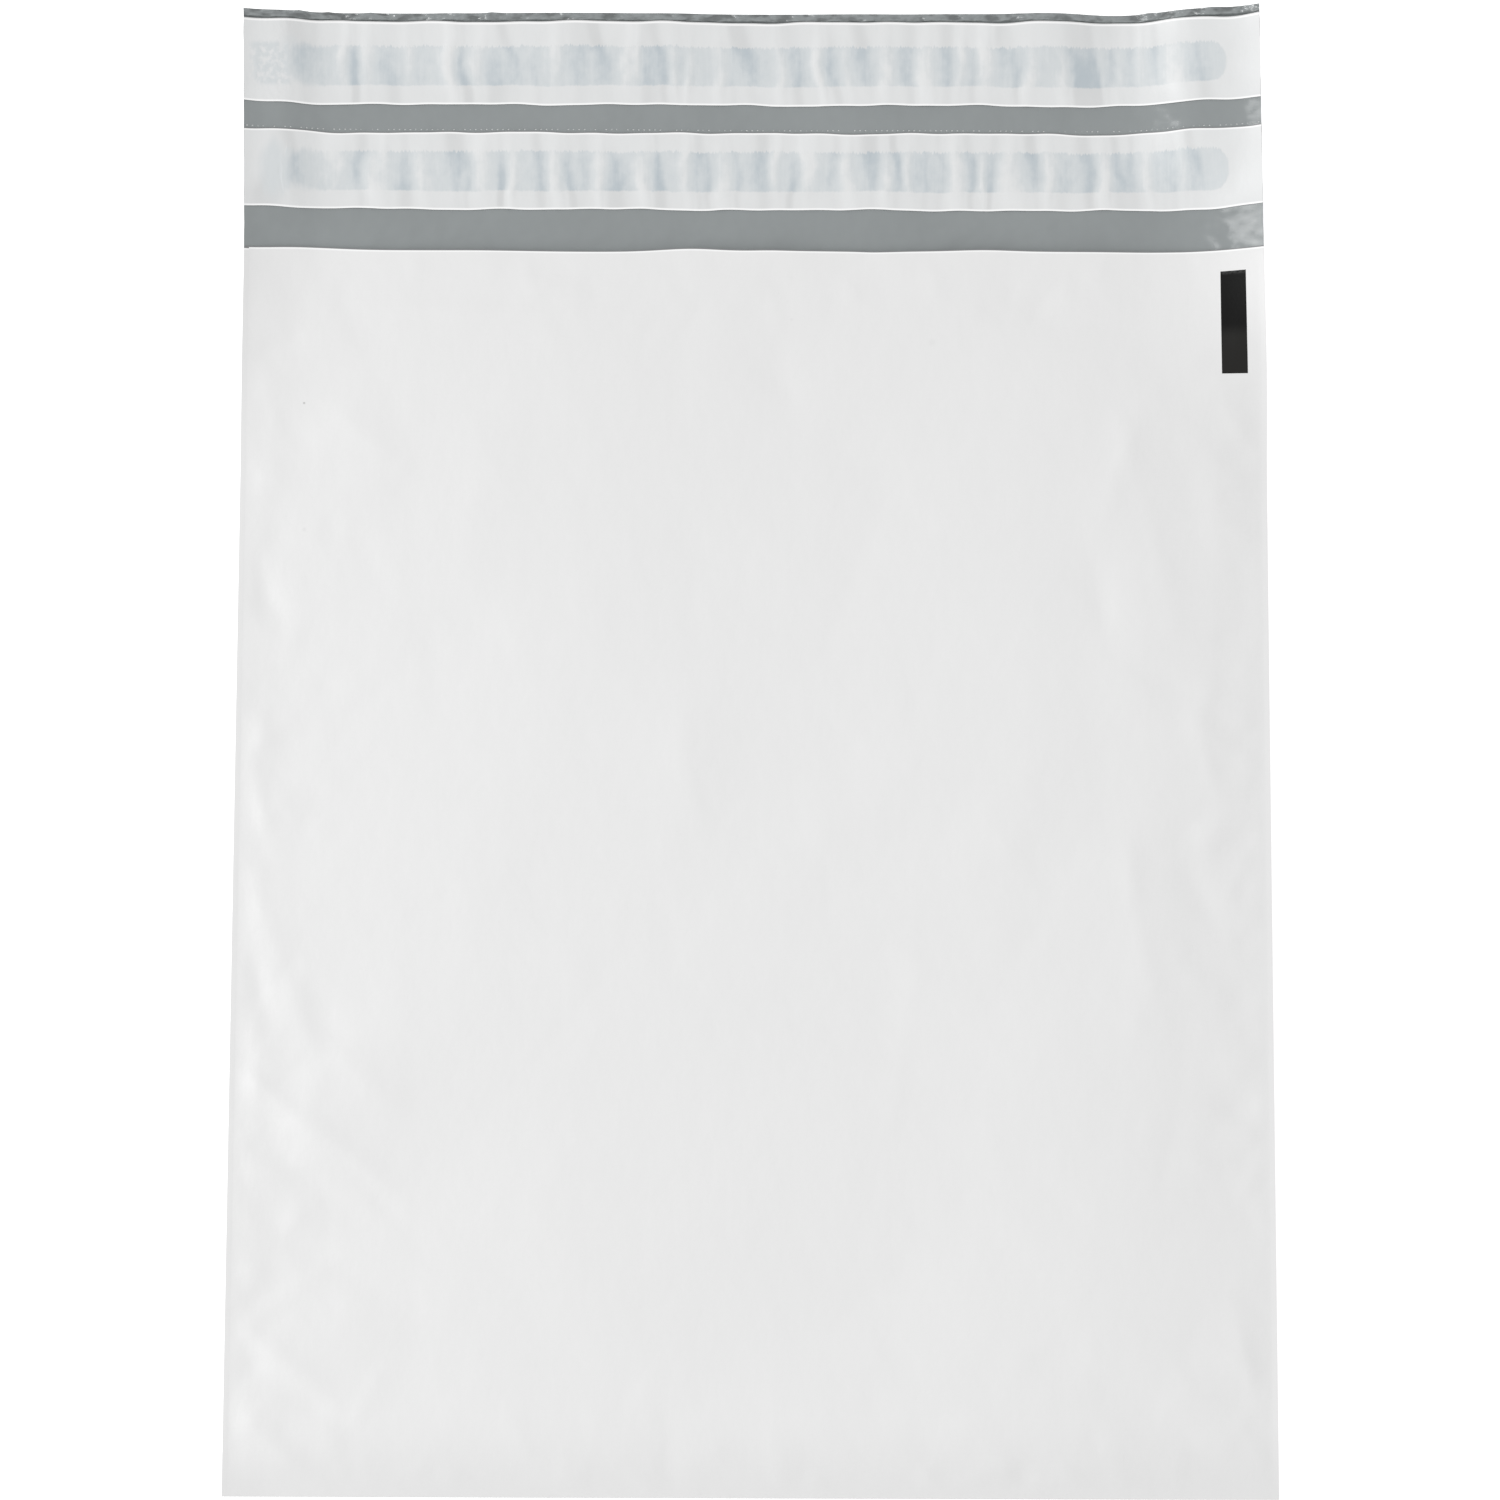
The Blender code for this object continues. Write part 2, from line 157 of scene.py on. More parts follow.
# What lies on the upper adhesive, in millimetres from the middle of the bag: place, half width,
# strength and lean. More than 0 is film pressed wet on the adhesive, less than 0 is a gather.
UPPER_GATHERS = [
    (-112.7, 2.4, 0.60, 1.5), (-108.6, 1.6, 0.25, 0.0), (-99.6, 1.2, 1.00, 0.0), (-91.4, 2.4, 0.55, 1.0),
    (-83.7, 0.9, 0.25, 0.0), (-73.0, 1.0, 0.85, 0.8), (-65.0, 2.2, 0.60, 0.0), (-59.9, 1.5, 0.55, 2.0),
    (-54.8, 1.0, 0.30, 0.0), (-44.0, 2.8, 0.50, 0.0), (-37.6, 1.9, 0.75, 1.8), (-26.7, 2.2, 0.70, 0.5),
    (-22.9, 1.1, 0.80, 1.6), (-18.7, 0.8, 0.30, 0.0), (-6.1, 1.5, 0.30, 0.0), (-1.2, 2.1, 0.80, 2.4),
    (10.5, 2.0, 0.70, 1.6), (18.8, 1.5, 0.85, 2.0), (27.2, 1.7, 0.70, 2.2), (38.0, 1.8, 0.70, 0.3),
    (48.0, 1.8, 0.70, 0.0), (54.6, 1.2, 0.50, 1.0), (61.7, 1.1, 0.45, 0.0), (65.2, 1.3, 0.70, 1.5),
    (81.0, 2.2, 1.00, 1.2), (84.9, 2.0, 0.85, 1.2), (89.7, 1.0, 0.50, 1.6), (93.8, 1.3, 0.40, 0.5),
    (100.1, 1.0, 0.50, 0.8), (111.5, 3.0, 0.50, 0.8),
    (-102.5, 1.3, -0.60, 0.0), (-96.4, 1.3, -0.60, 0.0), (-86.0, 1.0, -0.40, 0.0), (-76.4, 1.3, -1.00, 0.6),
    (-69.5, 1.5, -0.60, 0.0), (-49.8, 1.3, -0.50, 0.0), (-31.8, 1.8, -0.70, 0.0), (-29.5, 0.7, -0.60, 0.0),
    (-20.4, 0.8, -0.50, 0.8), (-16.3, 0.7, -0.50, -0.6), (-8.4, 1.5, -0.60, 0.0), (6.5, 1.0, -0.70, 0.8),
    (15.7, 1.2, -1.00, 0.6), (22.6, 0.8, -0.40, 0.8), (32.8, 1.5, -0.70, 0.0), (42.3, 1.8, -0.80, 0.0),
    (51.5, 1.0, -0.60, -0.8), (57.5, 1.7, -0.80, 0.0), (69.0, 1.2, -0.60, -0.8), (77.2, 1.3, -0.50, 0.6),
    (86.8, 0.7, -0.50, 1.0), (91.2, 0.8, -0.40, 0.8), (96.3, 1.0, -0.45, 0.4), (105.2, 2.4, -0.70, 0.8),
]

# The same for the lower adhesive
LOWER_GATHERS = [
    (-119.5, 2.6, 0.80, -1.5), (-114.6, 1.8, 0.70, 1.5), (-98.7, 1.5, 0.70, 0.0), (-86.9, 1.8, 0.70, 0.4), (-74.2, 1.5, 0.70, 0.9),
    (-71.3, 1.0, 0.50, 0.8), (-63.0, 1.0, 0.90, 0.0), (-53.2, 1.3, 0.80, 0.8), (-46.5, 1.0, 0.80, 1.0),
    (-42.0, 1.5, 0.45, 0.0), (-34.7, 1.9, 0.80, 1.2), (-24.0, 1.2, 0.90, 0.8), (-14.6, 1.0, 0.55, 0.6),
    (-11.8, 1.4, 0.65, 1.5), (-4.3, 0.8, 0.50, 1.0), (1.4, 1.8, 0.80, 0.2), (10.0, 1.3, 0.70, -0.4),
    (19.7, 1.6, 0.50, 0.3), (29.4, 1.7, 0.80, 0.2), (35.7, 1.0, 0.90, 0.4), (40.3, 1.2, 0.40, 0.0),
    (42.9, 1.7, 0.45, 0.0), (47.0, 1.3, 0.50, 0.0), (54.3, 1.2, 0.80, 0.5), (59.1, 1.2, 0.80, -0.8),
    (70.0, 1.4, 0.80, 0.8), (77.2, 1.5, 0.40, 0.0), (83.6, 1.8, 0.90, 1.0), (90.6, 1.5, 0.80, 1.0),
    (93.8, 1.2, 0.60, 0.6), (100.8, 1.0, 0.30, 0.6), (103.9, 1.2, 0.50, 0.6), (110.3, 1.8, 0.60, 1.0),
    (-104.4, 2.4, -0.50, 0.0), (-95.5, 1.6, -0.60, 0.0), (-92.4, 1.3, -0.50, 0.0), (-83.4, 1.9, -0.60, 0.0),
    (-68.2, 1.8, -0.70, 0.0), (-60.5, 1.2, -0.70, 0.3), (-50.3, 1.6, -0.70, 0.6), (-38.9, 1.5, -0.80, 0.0),
    (-28.4, 1.6, -0.70, 0.0), (-17.6, 1.3, -0.60, 0.0), (-7.9, 1.4, -0.60, 0.3), (4.8, 1.0, -0.60, 0.0),
    (13.3, 1.9, -0.80, 0.0), (22.6, 1.5, -0.80, 0.0), (32.8, 1.2, -0.60, 0.3), (38.0, 0.8, -0.60, 0.3),
    (50.2, 1.7, -0.80, 0.0), (56.9, 0.8, -0.60, -0.4), (63.2, 2.2, -0.80, 0.2), (73.4, 1.5, -0.70, 0.6),
    (87.4, 1.5, -0.90, 0.8), (97.6, 1.4, -0.60, 0.9), (107.1, 0.9, -0.30, 0.5),
]

# Waves of the flap, in millimetres: place across, half width and height, and where each starts and
# is full as a share of the flap's length from the mouth
# Ends and edges of each liner, in millimetres: seed of the cut edges, grain and reach of the
# crinkled smear, shade of the top edge, and the smudge at the left: place across and below the top
# edge, half width, half length and strength
UPPER_END = {"seed": 5, "grain": 1.5, "reach": 12.0, "shade": 0.35, "smudge": (-115.5, 8.5, 3.0, 4.5, 0.45)}
LOWER_END = {"seed": 8, "grain": 5.5, "reach": 3.5, "shade": 0.85, "smudge": (-119.4, 10.5, 3.6, 7.0, 0.85)}

FLAP_WAVES = [
    (109.0, 11.0, 3.4, 0.15, 0.50),
    (74.0, 11.0, 1.8, 0.55, 1.0),
    (90.0, 8.0, -0.5, 0.50, 1.0),
    (-116.0, 7.5, 1.5, -0.10, 0.30),
    (-113.0, 1.3, 0.7, 0.955, 1.0),
    (-106.0, 1.1, 0.6, 0.955, 1.0),
    (-95.5, 1.4, 0.6, 0.955, 1.0),
    (-65.5, 1.7, 0.7, 0.955, 1.0),
    (98.5, 2.0, 0.7, 0.950, 1.0),
    (115.5, 2.4, 0.8, 0.950, 1.0),
    (-76.0, 4.0, 0.25, 0.50, 0.95),
    (-20.0, 7.0, 0.4, 0.40, 1.0),
    (38.0, 9.0, -0.4, 0.30, 1.0),
]

# How far the mouth's edge wanders up, in millimetres: place across, half width and height
MOUTH_WANDER = [
    (-16.0, 9.0, 0.55),
    (-40.0, 16.0, -0.35),
    (58.0, 10.0, 0.38),
    (31.0, 6.0, -0.20),
    (-112.0, 14.0, 0.80),
    (4.0, 5.0, 0.12),
]

CREASE_DEPTH = 2.0
EDGE_DIMPLE_COUNT = 19
EDGE_DIMPLE_SEED = 41
EDGE_CRUMPLE_COUNT = 240
CRUMPLE_COUNT = 170
CRUMPLE_SEED = 12

# Spacing of the lines that the visible sheets are ruled with
PANEL_STEP = 0.00178
FLAP_STEP = 0.0020
BACK_STEP = 0.0150
CURL_STEP = 0.0030
FREE_MARGIN = 0.0040
FREE_STEP = 0.0008
EDGE_STEP = 0.0012
FINE_REACH = 0.0140
FOLD_STEPS = 8
LINER_ACROSS_STEP = 0.00062
LINER_ALONG_STEP = 0.00095
BAND_STEP = 0.0015

# Contact of the visible layers, which lie on each other as the real ones do
CONTACT = 0.000012
INK_RISE = 0.000020
INK_THICKNESS = 0.000012

# Slits of the tear line on the grey side, in millimetres apart, just over the lower liner
SLIT_PITCH = 1.35
TEAR_LINE_RISE = 0.0006

# Rounding of the adhesive bands' ends, in millimetres
BAND_END_ROUND = 4.0

# Painted highlight along the cut edges of the mouth's lip and of the liners, where the film's thickness catches the
# light, and painted shade in a thin line at the lip's edge and the liners' top edges
PAINTED_EDGE_HIGHLIGHT = (1.00, 1.00, 1.00)
PAINTED_EDGE_SHADE = (0.09, 0.095, 0.10)

# Unevenness of the cut edges
EDGE_WANDER = 0.00007
NICK_Y = 0.1716
NICK_DEPTH = 0.0004
MOUTH_RIPPLE = 0.00012
LINER_EDGE_WANDER = 0.00022
LINER_EDGE_LIFT = 0.00020

FLOOR_SIZE = 6.0
FLOOR_Z = -0.0002
FLOOR_GLOW = 0.42
SURROUND_STRENGTH = 0.695
# Name, place, size and power of each lamp
LAMPS = [("key_lamp", (-4.0, -0.15, 3.4), 3.4, 100.0), ("glint_lamp", (-3.3, 0.3, 3.8), 0.26, 19.0)]

CAMERA_AIM = Vector((-0.00067189, -0.00238566, 0.0))
CAMERA_DISTANCE = 0.71620493
CAMERA_TILT = 0.08561959
CAMERA_ROLL = 0.00329204
CAMERA_LENS = 70.0


def clamp(value):
    """Hold values between 0 and 1."""
    return np.clip(value, 0.0, 1.0)


def ease(value):
    """A smooth step from 0 to 1."""
    held = clamp(value)
    return held * held * (3.0 - 2.0 * held)


def swell(distance, reach):
    """Rise from 0 at an edge to 1 at a distance, steep at the edge and level at the end."""
    return 1.0 - (1.0 - clamp(distance / reach)) ** 2


def ruled(stops, steps):
    """Lines through every stop, with each bay split evenly into steps no longer than its own."""
    lines = [stops[0]]
    for start, end, step in zip(stops, stops[1:], steps):
        count = max(1, math.ceil(round((end - start) / step, 6)))
        lines += [start + (end - start) * i / count for i in range(1, count + 1)]
    return np.array(lines)


class MailerSizes(bpy.types.PropertyGroup):
    """Sizes of the mailer."""

    film_width: bpy.props.FloatProperty(
        name="Film width",
        description="Width of the bag between its side edges",
        default=FILM_HIGH.x - FILM_LOW.x - 2 * WELD_BEAD,
        subtype="DISTANCE",
        unit="LENGTH",
    )
    body_length: bpy.props.FloatProperty(
        name="Body length",
        description="Length from the bottom fold to the mouth",
        default=0.305,
        subtype="DISTANCE",
        unit="LENGTH",
    )
    film_thickness: bpy.props.FloatProperty(
        name="Film thickness",
        description="Thickness of the bag's film",
        default=0.000064,
        subtype="DISTANCE",
        unit="LENGTH",
        precision=6,
    )
    liner_thickness: bpy.props.FloatProperty(
        name="Liner thickness",
        description="Thickness of the release film over the adhesive",
        default=0.00005,
        subtype="DISTANCE",
        unit="LENGTH",
        precision=6,
    )
    adhesive_thickness: bpy.props.FloatProperty(
        name="Adhesive thickness",
        description="Thickness of the two adhesive bands",
        default=0.0001,
        subtype="DISTANCE",
        unit="LENGTH",
        precision=6,
    )
    fold_height: bpy.props.FloatProperty(
        name="Fold height",
        description="Height of the bottom fold",
        default=0.0012,
        subtype="DISTANCE",
        unit="LENGTH",
    )
    weld_width: bpy.props.FloatProperty(
        name="Weld width",
        description="Width of the side welds",
        default=0.0012,
        subtype="DISTANCE",
        unit="LENGTH",
    )
    weld_height: bpy.props.FloatProperty(
        name="Weld height",
        description="Height of the bag over its side welds",
        default=0.0003,
        subtype="DISTANCE",
        unit="LENGTH",
        precision=6,
    )
    puff: bpy.props.FloatProperty(
        name="Fullness",
        description="Height of the empty bag's front panel over the bottom fold's height",
        default=0.0025,
        subtype="DISTANCE",
        unit="LENGTH",
    )
    right_curl_rise: bpy.props.FloatProperty(
        name="Right curl",
        description="Height that the upper right corner curls up",
        default=0.0098,
        subtype="DISTANCE",
        unit="LENGTH",
    )
    right_curl_length: bpy.props.FloatProperty(
        name="Right curl length",
        description="Length of film in the right curl",
        default=0.032,
        subtype="DISTANCE",
        unit="LENGTH",
    )
    left_curl_rise: bpy.props.FloatProperty(
        name="Left curl",
        description="Height that the upper left corner curls up",
        default=0.0038,
        subtype="DISTANCE",
        unit="LENGTH",
    )
    left_curl_length: bpy.props.FloatProperty(
        name="Left curl length",
        description="Length of film in the left curl",
        default=0.020,
        subtype="DISTANCE",
        unit="LENGTH",
    )
    mark_side_margin: bpy.props.FloatProperty(
        name="Mark side margin",
        description="Distance from the printed mark to the right side",
        default=0.0046,
        subtype="DISTANCE",
        unit="LENGTH",
    )
    mark_width: bpy.props.FloatProperty(
        name="Mark width",
        description="Width of the printed mark",
        default=0.00635,
        subtype="DISTANCE",
        unit="LENGTH",
    )
    band_left_margin: bpy.props.FloatProperty(
        name="Adhesive left margin",
        description="Distance from the left side to the adhesive bands",
        default=0.0115,
        subtype="DISTANCE",
        unit="LENGTH",
    )
    band_right_margin: bpy.props.FloatProperty(
        name="Adhesive right margin",
        description="Distance from the right side to the adhesive bands",
        default=0.0085,
        subtype="DISTANCE",
        unit="LENGTH",
    )
    gather_height: bpy.props.FloatProperty(
        name="Gather height",
        description="Height of the release film's gathers",
        default=0.00022,
        subtype="DISTANCE",
        unit="LENGTH",
        precision=6,
    )


class MailerColours(bpy.types.PropertyGroup):
    """Colours of the mailer and its studio."""

    white_film: bpy.props.FloatVectorProperty(
        name="White film",
        description="Outside of the film",
        default=(0.850, 0.850, 0.850),
        subtype="COLOR",
        size=3,
    )
    grey_film: bpy.props.FloatVectorProperty(
        name="Grey film",
        description="Inside of the film",
        default=(0.276, 0.298, 0.302),
        subtype="COLOR",
        size=3,
    )
    liner: bpy.props.FloatVectorProperty(
        name="Release film",
        description="Release film that lies on the flap",
        default=(0.782, 0.792, 0.795),
        subtype="COLOR",
        size=3,
    )
    liner_over_adhesive: bpy.props.FloatVectorProperty(
        name="Release film over adhesive",
        description="Release film that lies loosely on the adhesive",
        default=(0.680, 0.712, 0.726),
        subtype="COLOR",
        size=3,
    )
    liner_wetted: bpy.props.FloatVectorProperty(
        name="Release film pressed on adhesive",
        description="Release film where it is pressed wet on the adhesive",
        default=(0.505, 0.560, 0.597),
        subtype="COLOR",
        size=3,
    )
    liner_lifted: bpy.props.FloatVectorProperty(
        name="Release film lifted",
        description="Release film where a gather lifts it off the adhesive",
        default=(0.800, 0.810, 0.812),
        subtype="COLOR",
        size=3,
    )
    adhesive: bpy.props.FloatVectorProperty(
        name="Adhesive",
        description="Adhesive bands",
        default=(0.47, 0.53, 0.57),
        subtype="COLOR",
        size=3,
    )
    ink: bpy.props.FloatVectorProperty(
        name="Ink",
        description="Printed mark",
        default=(0.0055, 0.0055, 0.0054),
        subtype="COLOR",
        size=3,
    )
    floor: bpy.props.FloatVectorProperty(
        name="Floor",
        description="Pale studio floor",
        default=(0.95, 0.95, 0.95),
        subtype="COLOR",
        size=3,
    )


class Lying:
    """How the empty bag lies: the fullness of its body, its folds, and the curl of its corners."""

    side_slope = 0.0600
    left_slope = 0.1000
    bottom_slope = 0.0200
    mouth_slope = 0.0400
    mouth_puff_share = 0.35
    curl_rise_at_mouth = 0.85
    curl_fade_length = 0.060
    flap_wave_height = 0.0010
    flap_wave_length = 0.088
    flap_flare = 0.0013

    def __init__(self, sizes):
        self.sizes = sizes
        self.half = sizes.film_width / 2
        self.bottom_y = FILM_LOW.y + WELD_BEAD
        self.mouth_y = self.bottom_y + sizes.body_length
        self.free_edge_y = FILM_HIGH.y
        self.flap_length = self.free_edge_y - self.mouth_y
        self.creases = [tuple(v * MM for v in crease[:5]) + (crease[5] * MM * CREASE_DEPTH,) for crease in CREASES]
        self.creases += self.edge_dimples() + self.crumples()

    def edge_dimples(self):
        """Short creases that the side welds draw into the panel."""
        draw = np.random.default_rng(EDGE_DIMPLE_SEED)
        dimples = []
        for side in (-1.0, 1.0):
            for i in range(EDGE_DIMPLE_COUNT):
                down = (i + draw.uniform(0.1, 0.9)) / EDGE_DIMPLE_COUNT * 0.285 + 0.014
                reach = draw.uniform(0.007, 0.017)
                drop = draw.uniform(-0.007, 0.007)
                start = side * (self.half - 0.001)
                end = side * (self.half - 0.001 - reach)
                height = draw.uniform(0.00012, 0.00044) * draw.choice([-1.0, 1.0])
                dimples.append((start, down, end, down + drop, draw.uniform(0.0014, 0.0030), height))
        return dimples

    def crumples(self):
        """Faint random creases all over the front panel, shorter and sharper near its edges."""
        draw = np.random.default_rng(CRUMPLE_SEED)
        creases = []
        for i in range(CRUMPLE_COUNT + EDGE_CRUMPLE_COUNT):
            across = draw.uniform(-0.118, 0.118)
            down = draw.uniform(0.010, 0.293)
            heading = draw.normal(math.radians(75), math.radians(40))
            half_length = draw.uniform(0.007, 0.028)
            half_width = draw.uniform(0.0035, 0.0110)
            height = draw.uniform(0.00005, 0.00022)
            if i >= CRUMPLE_COUNT:
                inward = min(draw.exponential(0.009), 0.030)
                if draw.random() < 0.72:
                    across = draw.choice([-1.0, 1.0]) * (self.half - 0.004 - inward)
                    heading = draw.normal(0.0, math.radians(50))
                else:
                    down = draw.choice([0.003 + inward, self.sizes.body_length - 0.004 - inward])
                    heading = draw.normal(math.radians(90), math.radians(45))
                half_length = draw.uniform(0.003, 0.010)
                half_width = draw.uniform(0.0015, 0.0034)
                height = draw.uniform(0.00008, 0.00024)
            dx = half_length * math.cos(heading)
            dy = half_length * math.sin(heading)
            height *= draw.choice([-1.0, 1.0])
            creases.append((across - dx, down - dy, across + dx, down + dy, half_width, height))
        return creases

    def soft_folds(self, x, below_mouth):
        """Height of the long soft folds."""
        total = np.zeros_like(x)
        for across, down, heading, half_length, half_width, height in SOFT_FOLDS:
            dx = x - across
            dy = down - below_mouth
            along = dx * math.cos(heading) + dy * math.sin(heading)
            beside = dy * math.cos(heading) - dx * math.sin(heading)
            total += height * np.exp(-((along / half_length) ** 2) - (beside / half_width) ** 2)
        return total

    def sharp_creases(self, x, below_mouth):
        """Height of the creases, each a narrow tent that fades out at both ends."""
        total = np.zeros_like(x)
        for x0, d0, x1, d1, half_width, height in self.creases:
            run = math.hypot(x1 - x0, d1 - d0)
            ux, ud = (x1 - x0) / run, (d1 - d0) / run
            along = (x - x0) * ux + (below_mouth - d0) * ud
            beside = (x - x0) * ud - (below_mouth - d0) * ux
            fade = np.exp(-((np.abs(along / run - 0.5) * 2.0) ** 3) * 1.6)
            total += height * fade * np.exp(-np.sqrt((beside / half_width) ** 2 + 0.09) + 0.3)
        return total

    def front_height(self, x, y):
        """Height of the front panel's white side over the underside of the bag."""
        sizes = self.sizes
        inside = self.half - sizes.weld_width - np.abs(x)
        below_mouth = self.mouth_y - y
        side = swell(inside, np.where(x < 0.0, self.left_slope, self.side_slope))
        bottom = swell(y - self.bottom_y, self.bottom_slope)
        opening = self.mouth_puff_share + (1.0 - self.mouth_puff_share) * ease(below_mouth / self.mouth_slope)
        fullness = sizes.puff + self.soft_folds(x, below_mouth)
        height = sizes.weld_height
        height = height + side * (sizes.fold_height - sizes.weld_height + bottom * opening * fullness)
        held = ease(inside / 0.006) * ease((y - self.bottom_y) / 0.006)
        return height + held * self.sharp_creases(x, below_mouth)

    def curl_strength(self, y):
        """Share of the full curl at a distance along the bag."""
        share = self.curl_rise_at_mouth
        along_flap = (y - self.mouth_y) / self.flap_length
        on_flap = share + (1.0 - share) * along_flap
        on_body = share * (1.0 - ease((self.mouth_y - y) / self.curl_fade_length))
        return np.where(y >= self.mouth_y, on_flap, on_body)

    def flap_wave(self, x, y):
        """Height of the flap's waves, none at the mouth and full at the free edge."""
        growth = ease((y - self.mouth_y) / self.flap_length)
        long_wave = 0.5 - 0.5 * np.cos(2.0 * math.pi * x / self.flap_wave_length)
        middle = ease((self.half - np.abs(x)) / (self.sizes.right_curl_length * 2.0))
        total = self.flap_wave_height * growth * long_wave * middle
        up = (y - self.mouth_y) / self.flap_length
        for across, half_width, height, start, end in FLAP_WAVES:
            total = total + height * MM * ease((up - start) / (end - start)) * np.exp(
                -(((x / MM - across) / half_width) ** 2))
        return total

    def lay(self, x, y, z):
        """Place points of the flat layout on the bag as it lies, with its upper corners curled."""
        sizes = self.sizes
        right = x > 0.0
        side = np.where(right, 1.0, -1.0)
        length = np.where(right, sizes.right_curl_length, sizes.left_curl_length)
        rise = np.where(right, sizes.right_curl_rise, sizes.left_curl_rise)
        into_curl = np.abs(x) - (self.half - length)
        curvature = 2.0 * rise * self.curl_strength(y) / length ** 2
        height = self.flap_wave(x, y) + z
        flat = (into_curl <= 0.0) | (curvature * length < 0.001)
        curvature = np.maximum(curvature, 0.001)
        turn = into_curl * curvature
        across = self.half - length + np.sin(turn) / curvature - height * np.sin(turn)
        up = (1.0 - np.cos(turn)) / curvature + height * np.cos(turn)
        flare = self.flap_flare * clamp((y - self.mouth_y) / self.flap_length)
        flare = flare * ease((-x - 0.03) / (self.half - 0.03))
        return np.stack([np.where(flat, x, side * across) - flare, y, np.where(flat, height, up)], axis=-1)


class Wire:
    """A socket of a shader, which adds Math nodes when it stands in an expression."""

    def __init__(self, finish, socket):
        self.finish = finish
        self.socket = socket

    def _math(self, operation, *values):
        sockets = {i: value for i, value in enumerate(values)}
        return self.finish.node("ShaderNodeMath", {"operation": operation}, sockets)

    def __add__(self, other):
        return self._math("ADD", self, other)

    __radd__ = __add__

    def __sub__(self, other):
        return self._math("SUBTRACT", self, other)

    def __rsub__(self, other):
        return self._math("SUBTRACT", other, self)

    def __mul__(self, other):
        return self._math("MULTIPLY", self, other)

    __rmul__ = __mul__

    def __truediv__(self, other):
        return self._math("DIVIDE", self, other)

    def __rtruediv__(self, other):
        return self._math("DIVIDE", other, self)

    def __pow__(self, other):
        return self._math("POWER", self, other)

    def least(self, other):
        """The smaller of two values."""
        return self._math("MINIMUM", self, other)

    def most(self, other):
        """The larger of two values."""
        return self._math("MAXIMUM", self, other)

    def size(self):
        """The value without its sign."""
        return self._math("ABSOLUTE", self)

    def other(self, output):
        """Another output of the same node."""
        return Wire(self.finish, self.socket.node.outputs[output])

    def part(self):
        """What is left of a value after its whole number."""
        return self._math("FRACT", self)

    def step(self, start, end):
        """A smooth step from 0 at start to 1 at end."""
        settings = {"interpolation_type": "SMOOTHSTEP"}
        return self.finish.node("ShaderNodeMapRange", settings, {0: self, 1: start, 2: end})


class Finish:
    """A material under construction."""

    def __init__(self, name, roughness):
        self.material = bpy.data.materials.new(name)
        self.material.use_nodes = True
        self.tree = self.material.node_tree
        self.shader = self.tree.nodes["Principled BSDF"]
        self.shader.inputs["Roughness"].default_value = roughness

    def node(self, kind, settings=None, sockets=None, output=0):
        """Add a node: its settings first, then the values or links of its sockets."""
        node = self.tree.nodes.new(kind)
        for key, value in (settings or {}).items():
            setattr(node, key, value)
        for key, value in (sockets or {}).items():
            self.feed(node.inputs[key], value)
        return Wire(self, node.outputs[output])

    def feed(self, socket, value):
        """Link a wire to a socket, or set the socket's own value."""
        if isinstance(value, Wire):
            self.tree.links.new(value.socket, socket)
        elif hasattr(value, "__len__") and socket.type == "RGBA":
            socket.default_value = (*value, 1.0)
        else:
            socket.default_value = value

    def set(self, **sockets):
        """Set sockets of the shader, by their names with underscores for spaces."""
        for key, value in sockets.items():
            self.feed(self.shader.inputs[key.replace("_", " ")], value)

    def mixed(self, share, first, second):
        """A colour between two."""
        settings = {"data_type": "RGBA"}
        return self.node("ShaderNodeMix", settings, {0: share, 6: first, 7: second}, 2)

    def scaled(self, colour, share):
        """A colour made darker or lighter by a share of itself."""
        settings = {"data_type": "RGBA", "blend_type": "MULTIPLY"}
        grey = self.node("ShaderNodeCombineColor", None, {0: share, 1: share, 2: share})
        return self.node("ShaderNodeMix", settings, {0: 1.0, 6: colour, 7: grey}, 2)

    def sheet_place(self):
        """Distances across and along the flat sheet, in millimetres."""
        place = self.node("ShaderNodeUVMap", {"uv_map": SHEET_MAP})
        across = self.node("ShaderNodeSeparateXYZ", None, {0: place})
        return across / MM, across.other(1) / MM

    def grain(self, across, along, wide, tall, detail=2.0):
        """Noise with features of a width and a height in millimetres, from 0 to 1."""
        place = self.node("ShaderNodeCombineXYZ", None, {0: across / wide, 1: along / tall})
        return self.node("ShaderNodeTexNoise", None, {"Vector": place, "Scale": 1.0, "Detail": detail})

    def attribute(self, name):
        """A number that the sheet carries at its points."""
        return self.node("ShaderNodeAttribute", {"attribute_name": name}, None, 2)

    def relief(self, height, distance, strength=1.0):
        """Shade the surface by a height from 0 to 1, worth a distance in metres."""
        sockets = {"Height": height, "Distance": distance, "Strength": strength}
        self.set(Normal=self.node("ShaderNodeBump", None, sockets))


def deselect_all():
    """Leave nothing selected, so that an operator acts only on what it adds."""
    bpy.ops.object.select_all(action="DESELECT")


